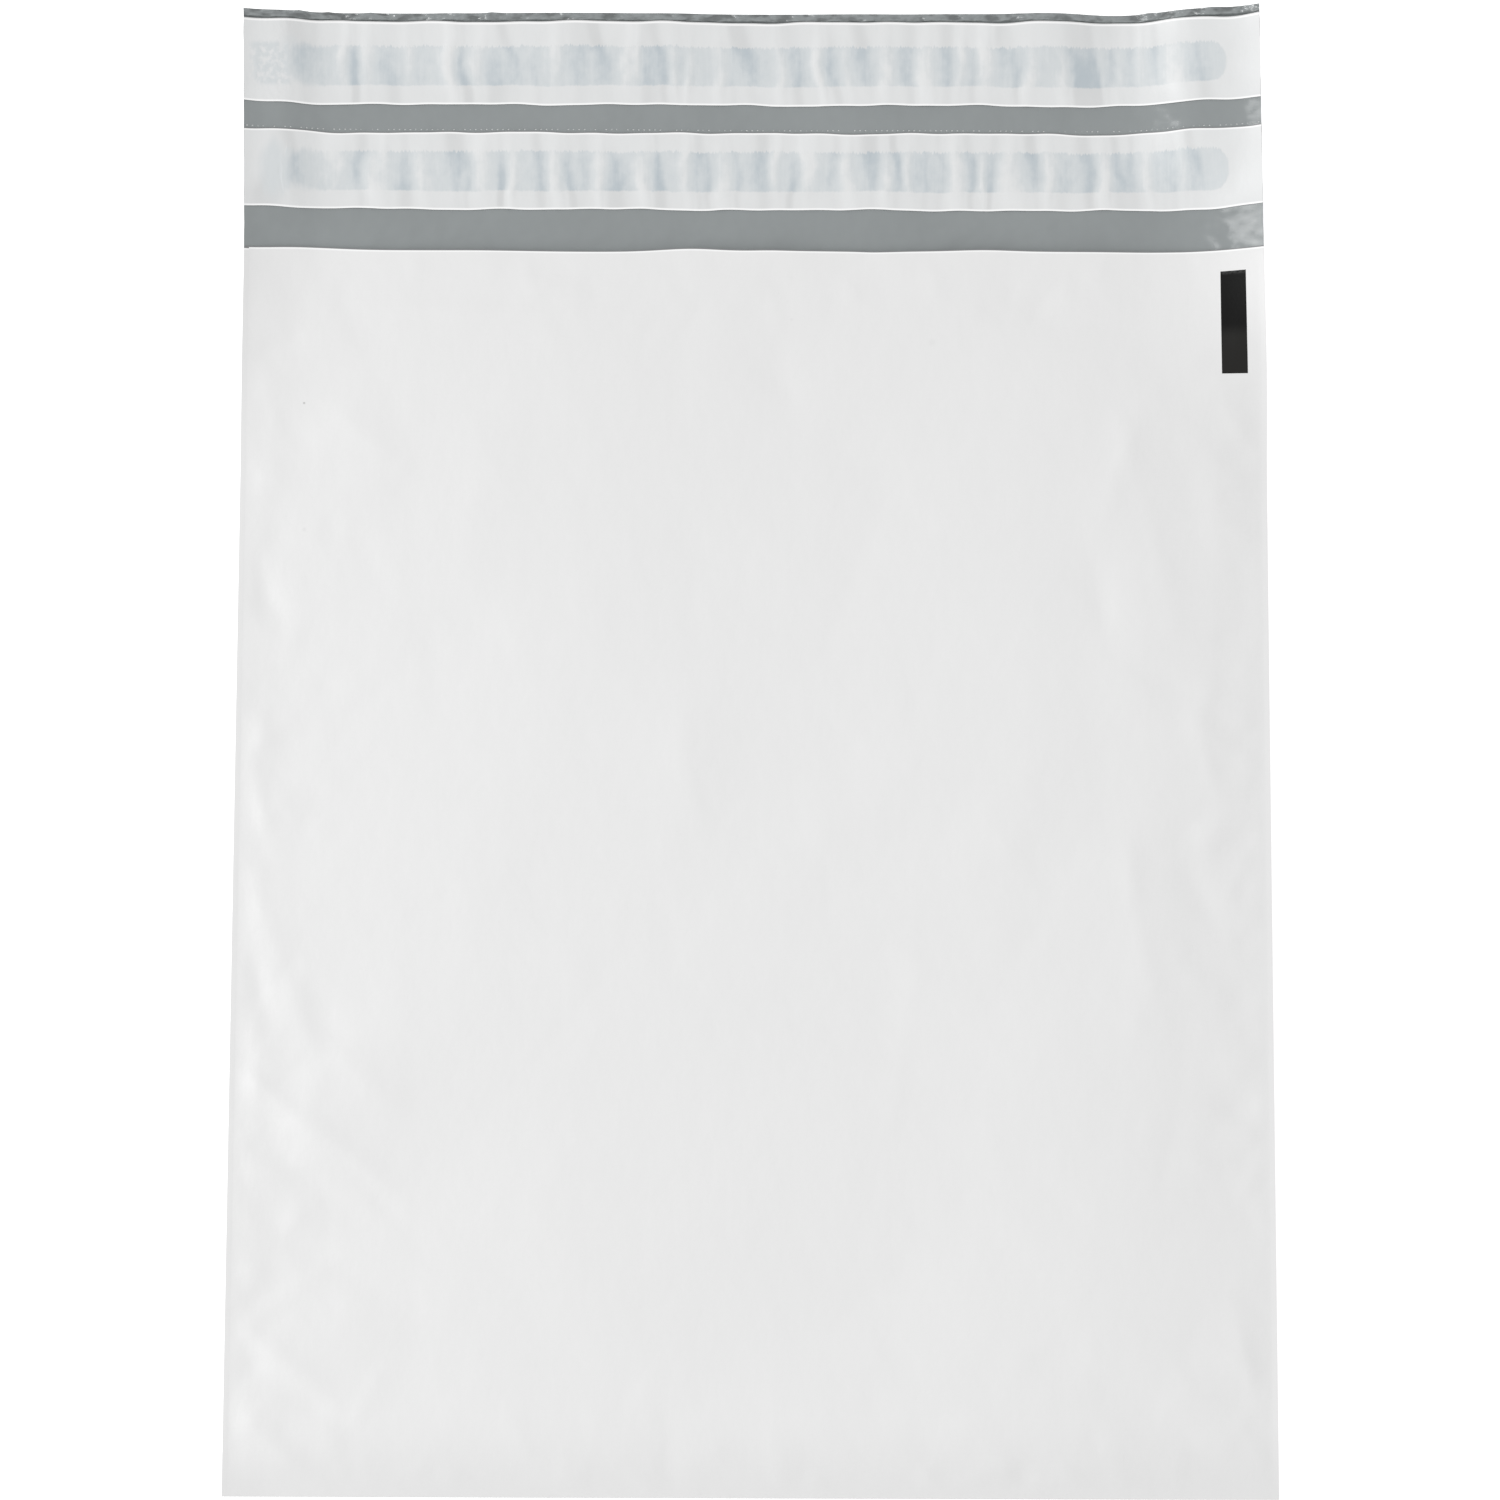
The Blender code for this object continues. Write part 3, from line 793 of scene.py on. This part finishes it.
def ruled_sheet(name, across, along, place, flat_across, flat_along):
    """A grid ruled with lines across and along, laid where place says, with its flat sizes as a map."""
    deselect_all()
    columns, rows = len(across) - 1, len(along) - 1
    bpy.ops.mesh.primitive_grid_add(x_subdivisions=columns, y_subdivisions=rows, size=2.0)
    sheet = bpy.context.object
    sheet.name = name
    sheet.data.name = name
    mesh = sheet.data
    corners = np.empty(len(mesh.vertices) * 3)
    mesh.vertices.foreach_get("co", corners)
    corners = corners.reshape(-1, 3)
    i = np.rint((corners[:, 0] + 1.0) / 2.0 * columns).astype(int)
    j = np.rint((corners[:, 1] + 1.0) / 2.0 * rows).astype(int)
    mesh.vertices.foreach_set("co", place(i, j).ravel())
    loops = np.empty(len(mesh.loops), dtype=np.int32)
    mesh.loops.foreach_get("vertex_index", loops)
    flat_map = mesh.uv_layers.active
    flat_map.name = SHEET_MAP
    flat_map.uv.foreach_set("vector", np.stack([flat_across[i[loops]], flat_along[j[loops]]], axis=-1).ravel())
    mesh.update()
    return sheet, i, j


def carry(sheet, name, values):
    """Store one number for each point of a sheet."""
    layer = sheet.data.attributes.new(name, "FLOAT", "POINT")
    layer.data.foreach_set("value", np.ascontiguousarray(values, dtype=np.float32))


def thicken(sheet, thickness, outward, materials):
    """Give a sheet its thickness and its finishes, the first outside and the last inside."""
    for material in materials:
        sheet.data.materials.append(material)
    wall = sheet.modifiers.new("thickness", "SOLIDIFY")
    wall.thickness = thickness
    wall.offset = 1.0 if outward else -1.0
    wall.material_offset = len(materials) - 1
    deselect_all()
    sheet.select_set(True)
    bpy.context.view_layer.objects.active = sheet
    bpy.ops.object.modifier_apply(modifier=wall.name)
    bpy.ops.object.shade_smooth_by_angle(angle=math.radians(50))


def white_film_finish(colour):
    """White outside of the film: satin, with faint draw lines and a fine grain, painted shade in places, and a
    painted highlight and painted shade along the mouth's lip.
    """
    finish = Finish("white_film_finish", 0.42)
    across, along = finish.sheet_place()
    clouds = finish.grain(across, along, 60.0, 45.0, 3.0)
    draw_lines = finish.grain(across, along, 90.0, 0.8, 1.0)
    crumple = finish.grain(across, along, 7.0, 9.0, 3.0)
    skin = finish.grain(across, along, 0.5, 0.4, 2.0)
    tone = 0.985 + clouds * 0.020 + draw_lines * 0.006
    # Painted shade: the film is darker towards the mouth, along the left edge, at the upper right corner and beside
    # the bottom fold
    tone = tone - along.step(120.0, 0.0) * 0.018
    tone = tone - across.step(-108.0, -126.0) * along.step(10.0, 80.0) * 0.036
    tone = tone - across.step(98.0, 120.0) * along.step(75.0, 15.0) * 0.026
    tone = tone - (along - 305.0).size().step(20.0, 2.0) * 0.045
    dirt = 0.0
    for speck_across, below_mouth, radius, strength in SPECKS:
        reach = ((across - speck_across) ** 2.0 + (along - below_mouth) ** 2.0) ** 0.5
        dirt = reach.step(radius * 1.25, radius * 0.3) * strength + dirt
    face = finish.mixed(dirt.least(1.0), finish.scaled(colour, tone), (0.30, 0.30, 0.29))
    # Painted highlight along the mouth's lip, and painted shade in a thin line at its very edge
    face = finish.mixed(along.step(0.85, 0.45), face, PAINTED_EDGE_HIGHLIGHT)
    finish.set(Base_Color=finish.mixed(along.step(0.34, 0.22) * 0.85, face, PAINTED_EDGE_SHADE))
    finish.set(Roughness=0.40 + clouds * 0.08)
    finish.relief(crumple * 1.40 + skin * 0.12 + draw_lines * 0.10, 0.00013)
    return finish.material


def grey_film_finish(colour, tear_line, free_line):
    """Grey inside of the film, with the row of small slits of the tear line, painted pale as highlights, and painted
    shade in the pleats along the free edge.
    """
    finish = Finish("grey_film_finish", 0.30)
    across, along = finish.sheet_place()
    clouds = finish.grain(across, along, 28.0, 14.0, 3.0)
    crumple = finish.grain(across, along, 6.0, 5.0, 1.2)
    skin = finish.grain(across, along, 0.5, 0.4, 2.0)
    slit_across = ((across / SLIT_PITCH).part() - 0.5).size() * SLIT_PITCH
    slit_along = (along - tear_line / MM).size()
    slit = slit_across.step(0.26, 0.14) * slit_along.step(0.22, 0.10)
    slit = slit * finish.grain(across, along, 1.1, 30.0, 0.0).step(0.35, 0.60)
    free_edge = along.step(free_line / MM - 2.6, free_line / MM - 1.6)
    pleats = finish.grain(across, along, 4.5, 2.2, 2.0)
    # The pleats along the free edge are darkened in colour: painted shade in their folds
    tone = 0.925 + clouds * 0.150 - pleats.step(0.56, 0.36) * free_edge * 0.45
    # The slits are painted pale: painted highlights where their cut film catches the light
    finish.set(Base_Color=finish.mixed(slit * 0.55, finish.scaled(colour, tone), (0.80, 0.81, 0.81)))
    waves = finish.grain(across, along, 22.0, 16.0, 2.0)
    finish.set(Roughness=0.12 + clouds * 0.10, Specular_IOR_Level=0.7)
    finish.relief(waves * 6.5 + crumple * 3.4 + skin * 0.06 - slit * 0.9 + pleats * free_edge * 15.0, 0.00012)
    return finish.material


def liner_finish(name, colours, width, band_left, band_right, band_drop, band_width, end):
    """Release film: milky where it lies dry, bluish where the adhesive wets it."""
    finish = Finish(name, 0.30)
    across, drop = finish.sheet_place()
    wet = finish.attribute("wetting")
    wobble = finish.grain(across, drop, 2.2, 9.0, 2.0) - 0.5
    left_end = (across - (band_left + 8.0 * MM) / MM).step(3.0, -7.0)
    half_across = (band_right - band_left) / 2.0 / MM - BAND_END_ROUND
    half_along = band_width / 2.0 / MM - BAND_END_ROUND
    out_across = ((across - (band_left + band_right) / 2.0 / MM).size() - half_across).most(0.0)
    out_along = ((drop - (band_drop + band_width / 2.0) / MM).size() - half_along).most(0.0)
    teeth = finish.grain(across, drop, 0.45, 20.0, 1.0) - 0.5
    outside = (out_across ** 2.0 + out_along ** 2.0) ** 0.5 - BAND_END_ROUND
    outside = outside + wobble * (0.7 + left_end * 3.0) + teeth * (0.5 + (drop - band_drop / MM).step(1.2, 0.0) * 1.6)
    band = outside.step(0.28 + left_end * 1.2, -0.28 - left_end * 1.2)
    smudge_across, smudge_drop, smudge_width, smudge_length, smudge_strength = end["smudge"]
    smudge = ((across - smudge_across) / smudge_width) ** 2.0 + ((drop - smudge_drop) / smudge_length) ** 2.0
    smudge = (smudge + wobble * 1.2).step(1.7, 0.3) * smudge_strength
    blots = finish.grain(across, drop, 1.9, 3.2, 3.0)
    drawn = finish.grain(across, drop, 0.9, 15.0, 2.0)
    crinkle = finish.grain(across, drop, end["grain"], end["grain"] * 1.3, 3.0)
    soaked = wet + (blots - 0.5) * 1.1 + (drawn - 0.5) * 0.45
    stuck = finish.mixed(soaked.step(0.05, -1.00), colours.liner_over_adhesive, colours.liner_lifted)
    stuck = finish.mixed(soaked.step(-0.10, 1.30), stuck, colours.liner_wetted)
    near_end = (across - band_left / MM).step(1.5, -1.0) * outside.step(end["reach"], end["reach"] * 0.6)
    smear = near_end * crinkle.step(0.34, 0.58) * out_along.step(5.2, 3.6)
    tone = 0.965 + clouds_of(finish, across, drop) * 0.05 - wet.step(0.0, 1.2) * 0.11 + wet.step(-0.1, -0.9) * 0.045
    dry = finish.scaled(colours.liner, tone)
    dry = finish.mixed((smear * 0.95).most(smudge), dry, colours.liner_over_adhesive)
    # Painted highlight along both cut edges, where the film's thickness catches the light
    edge = drop.step(0.80, 0.42).most((width / MM - drop).step(0.62, 0.30))
    dry = finish.mixed(edge, dry, PAINTED_EDGE_HIGHLIGHT)
    # Painted shade: a thin dark line along the top edge
    dry = finish.mixed(drop.step(0.30, 0.18) * end["shade"], dry, PAINTED_EDGE_SHADE)
    finish.set(Base_Color=finish.mixed(band, dry, stuck))
    finish.set(Roughness=0.34 + band * 0.06 + drawn * 0.04, Specular_IOR_Level=0.35)
    finish.relief(blots * 0.40 + drawn * band * 0.30 + crinkle * near_end * 0.9, 0.00014)
    return finish.material


def clouds_of(finish, across, along):
    """Slow variation of a thin film's tone."""
    return finish.grain(across, along, 14.0, 9.0, 2.0)


def adhesive_finish(colour):
    """Clear tacky adhesive, slightly uneven."""
    finish = Finish("adhesive_finish", 0.22)
    across, along = finish.sheet_place()
    lumps = finish.grain(across, along, 2.0, 3.0, 2.0)
    finish.set(Base_Color=finish.scaled(colour, 0.94 + lumps * 0.12), Coat_Weight=0.4)
    finish.relief(lumps, 0.00005)
    return finish.material


def ink_finish(colour, length):
    """Solid black ink, browner at one end and lighter grey in patches along its top edge."""
    finish = Finish("black_ink_finish", 0.33)
    across, drop = finish.sheet_place()
    wear = finish.grain(across, drop, 0.9, 0.5, 2.0)
    lower = drop.step(length / MM * 0.50, length / MM * 0.66)
    # start is the top edge of the mark, where the ink turns lighter grey in patches
    start = drop.step(1.05, 0.35)
    tone = finish.mixed(lower, colour, (0.0190, 0.0186, 0.0174))
    finish.set(Base_Color=finish.mixed(start * wear.step(0.35, 0.60) * 0.5, tone, (0.085, 0.085, 0.084)))
    finish.set(Roughness=0.36 + wear * 0.10, Specular_IOR_Level=0.12)
    finish.relief(wear, 0.00003)
    return finish.material


def floor_finish(colour):
    """Matt pale floor, lifted to the white of a studio table."""
    finish = Finish("studio_floor_finish", 0.90)
    finish.set(Base_Color=colour)
    finish.set(Emission_Color=(1.0, 1.0, 1.0), Emission_Strength=FLOOR_GLOW)
    return finish.material


def film_columns(sizes):
    """Lines across the film, through the mark's sides and closer at the side welds."""
    half = sizes.film_width / 2.0
    mark_right = half - sizes.mark_side_margin
    mark_left = mark_right - sizes.mark_width
    weld = half - sizes.weld_width
    slope = half - sizes.weld_width - FINE_REACH
    stops = [-half, -weld, -slope, slope, mark_left, mark_right, weld, half]
    return ruled(stops, [0.0006, 0.0013, 0.00150, 0.0013, 0.0011, 0.0013, 0.0006])


def front_lines(lying):
    """Lines along the front panel, through the mark's ends and closer at the mouth and the fold."""
    bottom, mouth = lying.bottom_y, lying.mouth_y
    stops = [bottom, bottom + 0.012, MARK_LOW.y, MARK_HIGH.y, mouth]
    return ruled(stops, [EDGE_STEP, PANEL_STEP, PANEL_STEP, EDGE_STEP])


def film_lines(lying):
    """The film's lines in the order in which the sheet runs: panel, place and flat length."""
    body = lying.sizes.body_length
    bottom, mouth, free = lying.bottom_y, lying.mouth_y, lying.free_edge_y
    stops = [bottom, bottom + EDGE_STEP, mouth - lying.curl_fade_length, mouth, free - FREE_MARGIN, free]
    back = ruled(stops, [EDGE_STEP, BACK_STEP, CURL_STEP, FLAP_STEP, FREE_STEP])[1:]
    front = front_lines(lying)[1:]
    lines = [("back", y, body + (y - bottom)) for y in back[::-1]]
    lines += [("fold", math.pi * i / FOLD_STEPS, body) for i in range(FOLD_STEPS + 1)]
    lines += [("front", y, mouth - y) for y in front]
    return lines


def cut_edge(y):
    """How far the hot-cut side edge of the flap wanders out."""
    wander = 0.5 * np.sin(y / 0.0021) + 0.3 * np.sin(y / 0.00083 + 1.0) + 0.2 * np.sin(y / 0.0047 + 2.0)
    nick = np.exp(-(((y - NICK_Y) / 0.0016) ** 2))
    return EDGE_WANDER * wander - NICK_DEPTH * nick


def mouth_wander(lying, x, y):
    """How far the front panel shifts along the bag near its uneven mouth."""
    total = np.zeros_like(x)
    for across, half_width, height in MOUTH_WANDER:
        total += height * MM * np.exp(-(((x / MM - across) / half_width) ** 2))
    return total * np.exp(-(lying.mouth_y - y) / 0.012)


def mouth_ripple(lying, x, y):
    """Fine ripples of the mouth's edge, gone a little below it."""
    near = np.exp(-(lying.mouth_y - y) / 0.007)
    ripple = np.sin(x / 0.0068 + 0.8) + 0.7 * np.sin(x / 0.0125 + 2.1) + 0.5 * np.sin(x / 0.0039)
    return MOUTH_RIPPLE * near * ripple * ease((lying.half - np.abs(x)) / 0.012)


def make_film(sizes, colours):
    """The bag's film: one sheet folded at the bottom, with its side welds and open flap."""
    lying = Lying(sizes)
    across = film_columns(sizes)
    lines = film_lines(lying)
    panel = np.array([line[0] for line in lines])
    spot = np.array([line[1] for line in lines])
    flat = np.array([line[2] for line in lines])

    def place(i, j):
        x, at, where = across[i], spot[j], panel[j]
        front = where == "front"
        y = np.where(where == "fold", lying.bottom_y, at)
        height = lying.front_height(x, y) + np.where(front, mouth_ripple(lying, x, y), 0.0)
        turn = np.where(where == "fold", at, 0.0)
        radius = height / 2.0
        z = np.where(front, height, np.where(where == "fold", radius * (1.0 - np.cos(turn)), 0.0))
        y = np.where(where == "fold", y + radius * (1.0 - np.sin(turn)), y)
        flap_side = (where == "back") & (y > lying.mouth_y) & (np.abs(x) > lying.half - 1e-6)
        x = x + np.sign(x) * np.where(flap_side, cut_edge(y), 0.0)
        y = y + np.where(front, mouth_wander(lying, x, np.minimum(y, lying.mouth_y)), 0.0)
        return lying.lay(x, y, z)

    outside = white_film_finish(colours.white_film)
    tear_line = sizes.body_length * 2.0 + (LOWER_LINER_HIGH.y + TEAR_LINE_RISE - lying.mouth_y)
    free_line = sizes.body_length * 2.0 + lying.flap_length
    inside = grey_film_finish(colours.grey_film, tear_line, free_line)
    film, _, _ = ruled_sheet("mailer_film", across, [line[1] for line in lines], place, across, flat)
    thicken(film, sizes.film_thickness, False, [outside, inside])
    welds = [make_weld(lying, side, outside) for side in (-1.0, 1.0)]
    deselect_all()
    for piece in welds + [film]:
        piece.select_set(True)
    bpy.context.view_layer.objects.active = film
    bpy.ops.object.join()
    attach(film, BODY)
    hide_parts("bag_film")


def make_weld(lying, side, material):
    """The narrow bead of melted film along one side of the bag."""
    sizes = lying.sizes
    outer = side * (lying.half + WELD_BEAD * 0.5)
    inner = side * (lying.half - sizes.weld_width)
    across = np.linspace(min(outer, inner), max(outer, inner), 3)
    along = front_lines(lying)[1:]

    def place(i, j):
        return lying.lay(across[i], along[j], np.full(len(i), sizes.weld_height + CONTACT))

    weld, _, _ = ruled_sheet("side_weld", across, along, place, across, lying.mouth_y - along)
    thicken(weld, sizes.weld_height - sizes.film_thickness / 2.0, False, [material])
    return weld


def make_band(name, sizes, low, high, material, node):
    """A band of adhesive with rounded ends on the flap's grey side."""
    lying = Lying(sizes)
    left = -lying.half + sizes.band_left_margin
    right = lying.half - sizes.band_right_margin
    middle = (low.y + high.y) / 2.0
    half_width = (high.y - low.y) / 2.0
    round_end = BAND_END_ROUND * MM
    across = ruled([left, left + round_end, right - round_end, right], [0.0005, BAND_STEP, 0.0005])
    along = np.linspace(-1.0, 1.0, 9)
    into_end = np.maximum(left + round_end - across, across - (right - round_end)).clip(0.0, None)
    cut = round_end - np.sqrt(np.maximum(round_end ** 2 - into_end ** 2, 0.0))
    reach = half_width - cut
    height = sizes.film_thickness + CONTACT + sizes.adhesive_thickness

    def place(i, j):
        y = middle + along[j] * reach[i]
        return lying.lay(across[i], y, np.full(len(i), height))

    band, _, _ = ruled_sheet(name, across, along, place, across, high.y - (middle + along * half_width))
    thicken(band, sizes.adhesive_thickness, False, [material])
    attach(band, BODY)
    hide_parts(node)


def edge_run(x, seed):
    """How far a liner's slit edge wanders along its length."""
    phases = np.random.default_rng(seed).uniform(0.0, 2.0 * math.pi, 4)
    total = np.zeros_like(x)
    for phase, length, share in zip(phases, (0.062, 0.031, 0.019, 0.0115), (0.55, 0.45, 0.40, 0.25)):
        total += share * np.sin(2.0 * math.pi * x / length + phase)
    return LINER_EDGE_WANDER * total


def make_liner(name, sizes, colours, low, high, band_low, band_high, gathers, end, node):
    """A release liner, gathered where it lies loose on the adhesive."""
    lying = Lying(sizes)
    across = ruled([-lying.half, lying.half], [LINER_ACROSS_STEP])
    drops = ruled([0.0, high.y - low.y], [LINER_ALONG_STEP])[::-1]
    band_drop = high.y - band_high.y
    band_width = band_high.y - band_low.y
    band_left = -lying.half + sizes.band_left_margin
    band_right = lying.half - sizes.band_right_margin

    def wetting(x, drop):
        """More than 0 where the film is pressed on the adhesive, less than 0 on a gather."""
        down = (drop - band_drop) / band_width - 0.5
        total = np.zeros_like(x)
        for at, half_width, strength, lean in gathers:
            bend = 3.8 * math.sin(at * 1.7) * (np.minimum(down ** 2, 0.36) - 0.08)
            spread = half_width * (1.0 + 0.7 * math.sin(at * 2.3) * clamp(down + 0.5) - 0.35 * math.sin(at * 2.3))
            weight = strength * (1.0 + 0.5 * math.cos(at * 3.1) * (2.0 * clamp(down + 0.5) - 1.0))
            beside = (x / MM - at - lean * down - bend) / spread
            total += weight * np.exp(-((beside / 1.2) ** 2))
        return total

    def border_fade(drop):
        out = np.maximum(band_drop - drop, drop - band_drop - band_width)
        return 1.0 - 0.62 * ease(out / 0.0035)

    def place(i, j):
        x, drop = across[i], drops[j]
        width = high.y - low.y
        y = high.y - drop + (1.0 - drop / width) * edge_run(x, end["seed"]) + drop / width * edge_run(x, end["seed"] + 1)
        inside = ease((x - band_left + 0.002) / 0.003) * ease((band_right + 0.002 - x) / 0.003)
        out = np.maximum(band_drop - drop, drop - band_drop - band_width)
        over_band = inside * ease(1.0 - out / 0.0015)
        lift = clamp(-wetting(x, drop)) * border_fade(drop)
        height = sizes.film_thickness + CONTACT + over_band * (sizes.adhesive_thickness + CONTACT)
        loose = np.exp(-drop / 0.0016) + np.exp(-(width - drop) / 0.0016)
        height = height + sizes.liner_thickness + sizes.gather_height * lift + LINER_EDGE_LIFT * loose
        return lying.lay(x, y, height)

    sheet, i, j = ruled_sheet(name, across, drops, place, across, drops)
    carry(sheet, "wetting", wetting(across[i], drops[j]))
    finish = liner_finish(
        name + "_finish", colours, high.y - low.y, band_left, band_right, band_drop, band_width, end)
    thicken(sheet, sizes.liner_thickness, False, [finish])
    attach(sheet, BODY)
    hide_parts(node)


def make_mark(sizes, colours):
    """The plain black mark that is printed on the front panel."""
    lying = Lying(sizes)
    right = lying.half - sizes.mark_side_margin
    left = right - sizes.mark_width
    across = film_columns(sizes)
    across = across[(across > left - 1e-6) & (across < right + 1e-6)]
    along = front_lines(lying)
    along = along[(along > MARK_LOW.y - 1e-6) & (along < MARK_HIGH.y + 1e-6)]

    def place(i, j):
        x, y = across[i], along[j]
        height = lying.front_height(x, y) + mouth_ripple(lying, x, y)
        return lying.lay(x, y + mouth_wander(lying, x, y), height + INK_RISE)

    length = MARK_HIGH.y - MARK_LOW.y
    mark, _, _ = ruled_sheet("printed_mark", across, along, place, across, MARK_HIGH.y - along)
    thicken(mark, INK_THICKNESS, False, [ink_finish(colours.ink, length)])
    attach(mark, BODY)
    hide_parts("registration_mark")


def make_floor(colours):
    """The pale floor under the mailer."""
    deselect_all()
    bpy.ops.mesh.primitive_grid_add(x_subdivisions=4, y_subdivisions=4, size=FLOOR_SIZE, location=(0.0, 0.0, FLOOR_Z))
    floor = bpy.context.object
    floor.name = "studio_floor"
    floor.data.materials.append(floor_finish(colours.floor))


def make_lights():
    """A broad soft lamp from the upper left over an even white surround."""
    world = bpy.data.worlds.new("studio_surround")
    world.use_nodes = True
    background = world.node_tree.nodes["Background"]
    background.inputs["Color"].default_value = (1.0, 1.0, 1.0, 1.0)
    background.inputs["Strength"].default_value = SURROUND_STRENGTH
    bpy.context.scene.world = world
    for name, place, size, power in LAMPS:
        deselect_all()
        bpy.ops.object.light_add(type="AREA", location=place)
        lamp = bpy.context.object
        lamp.name = name
        lamp.data.size = size
        lamp.data.energy = power
        lamp.rotation_euler = (-Vector(place)).to_track_quat("-Z", "Y").to_euler()


def make_camera():
    """The camera looks straight down apart from a slight tilt and roll."""
    right = Vector((1.0, 0.0, 0.0))
    up = Vector((0.0, math.cos(CAMERA_TILT), math.sin(CAMERA_TILT)))
    back = Vector((0.0, -math.sin(CAMERA_TILT), math.cos(CAMERA_TILT)))
    camera_x = right * math.cos(CAMERA_ROLL) + up * math.sin(CAMERA_ROLL)
    camera_y = up * math.cos(CAMERA_ROLL) - right * math.sin(CAMERA_ROLL)
    place = CAMERA_AIM + back * CAMERA_DISTANCE
    deselect_all()
    bpy.ops.object.camera_add()
    camera = bpy.context.object
    camera.name = "studio_camera"
    camera.data.lens = CAMERA_LENS
    camera.data.sensor_width = 36.0
    camera.data.clip_start = 0.01
    turn = Matrix((camera_x, camera_y, back)).transposed().to_4x4()
    camera.matrix_world = Matrix.Translation(place) @ turn
    bpy.context.scene.camera = camera


class MAILER_OT_bag_film(bpy.types.Operator):
    """Fold the film into the bag, with its side welds and its open flap"""

    bl_idname = "mailer.bag_film"
    bl_label = "Bag film"
    bl_options = {"REGISTER", "UNDO"}

    def execute(self, context):
        make_film(context.scene.mailer_sizes, context.scene.mailer_colours)
        return {"FINISHED"}


class MAILER_OT_adhesive_bands(bpy.types.Operator):
    """Lay the two adhesive bands on the flap"""

    bl_idname = "mailer.adhesive_bands"
    bl_label = "Adhesive bands"
    bl_options = {"REGISTER", "UNDO"}

    def execute(self, context):
        sizes = context.scene.mailer_sizes
        finish = adhesive_finish(context.scene.mailer_colours.adhesive)
        make_band("upper_adhesive", sizes, UPPER_BAND_LOW, UPPER_BAND_HIGH, finish, "adhesive_strip_upper")
        make_band("lower_adhesive", sizes, LOWER_BAND_LOW, LOWER_BAND_HIGH, finish, "adhesive_strip_lower")
        return {"FINISHED"}


class MAILER_OT_release_liners(bpy.types.Operator):
    """Lay a gathered release liner over each adhesive band"""

    bl_idname = "mailer.release_liners"
    bl_label = "Release liners"
    bl_options = {"REGISTER", "UNDO"}

    def execute(self, context):
        if "mailer_film" not in bpy.data.objects:
            raise RuntimeError("The liners rest on the film, so the film is made first")
        sizes, colours = context.scene.mailer_sizes, context.scene.mailer_colours
        make_liner("upper_liner", sizes, colours, UPPER_LINER_LOW, UPPER_LINER_HIGH,
                   UPPER_BAND_LOW, UPPER_BAND_HIGH, UPPER_GATHERS, UPPER_END, "release_liner_upper")
        make_liner("lower_liner", sizes, colours, LOWER_LINER_LOW, LOWER_LINER_HIGH,
                   LOWER_BAND_LOW, LOWER_BAND_HIGH, LOWER_GATHERS, LOWER_END, "release_liner_lower")
        return {"FINISHED"}


class MAILER_OT_printed_mark(bpy.types.Operator):
    """Print the plain black mark on the front panel"""

    bl_idname = "mailer.printed_mark"
    bl_label = "Printed mark"
    bl_options = {"REGISTER", "UNDO"}

    def execute(self, context):
        make_mark(context.scene.mailer_sizes, context.scene.mailer_colours)
        return {"FINISHED"}


class MAILER_OT_stage(bpy.types.Operator):
    """Set the pale floor, the soft light and the camera"""

    bl_idname = "mailer.stage"
    bl_label = "Stage"
    bl_options = {"REGISTER", "UNDO"}

    def execute(self, context):
        context.scene.view_settings.view_transform = "Standard"
        make_floor(context.scene.mailer_colours)
        make_lights()
        make_camera()
        return {"FINISHED"}


class MAILER_PT_panel(bpy.types.Panel):
    """The mailer's sizes, colours and steps"""

    bl_idname = "MAILER_PT_panel"
    bl_label = "Mailer"
    bl_space_type = "VIEW_3D"
    bl_region_type = "UI"
    bl_category = "Mailer"

    def draw(self, context):
        column = self.layout.column()
        for group in (context.scene.mailer_sizes, context.scene.mailer_colours):
            for key in group.__annotations__:
                column.prop(group, key)
        for operator in STEPS:
            column.operator(operator.bl_idname)


STEPS = (
    MAILER_OT_bag_film,
    MAILER_OT_adhesive_bands,
    MAILER_OT_release_liners,
    MAILER_OT_printed_mark,
    MAILER_OT_stage,
)


def register():
    """Register the classes and hang the sizes and colours on the scene."""
    for cls in (MailerSizes, MailerColours, *STEPS, MAILER_PT_panel):
        bpy.utils.register_class(cls)
    bpy.types.Scene.mailer_sizes = bpy.props.PointerProperty(type=MailerSizes)
    bpy.types.Scene.mailer_colours = bpy.props.PointerProperty(type=MailerColours)


def unregister():
    """Take everything that register added away again."""
    del bpy.types.Scene.mailer_colours
    del bpy.types.Scene.mailer_sizes
    for cls in (MAILER_PT_panel, *reversed(STEPS), MailerColours, MailerSizes):
        bpy.utils.unregister_class(cls)


def main():
    """Build the mailer and its studio."""
    register()
    bpy.ops.mailer.bag_film()
    bpy.ops.mailer.adhesive_bands()
    bpy.ops.mailer.release_liners()
    bpy.ops.mailer.printed_mark()
    bpy.ops.mailer.stage()


if __name__ == "__main__":
    main()
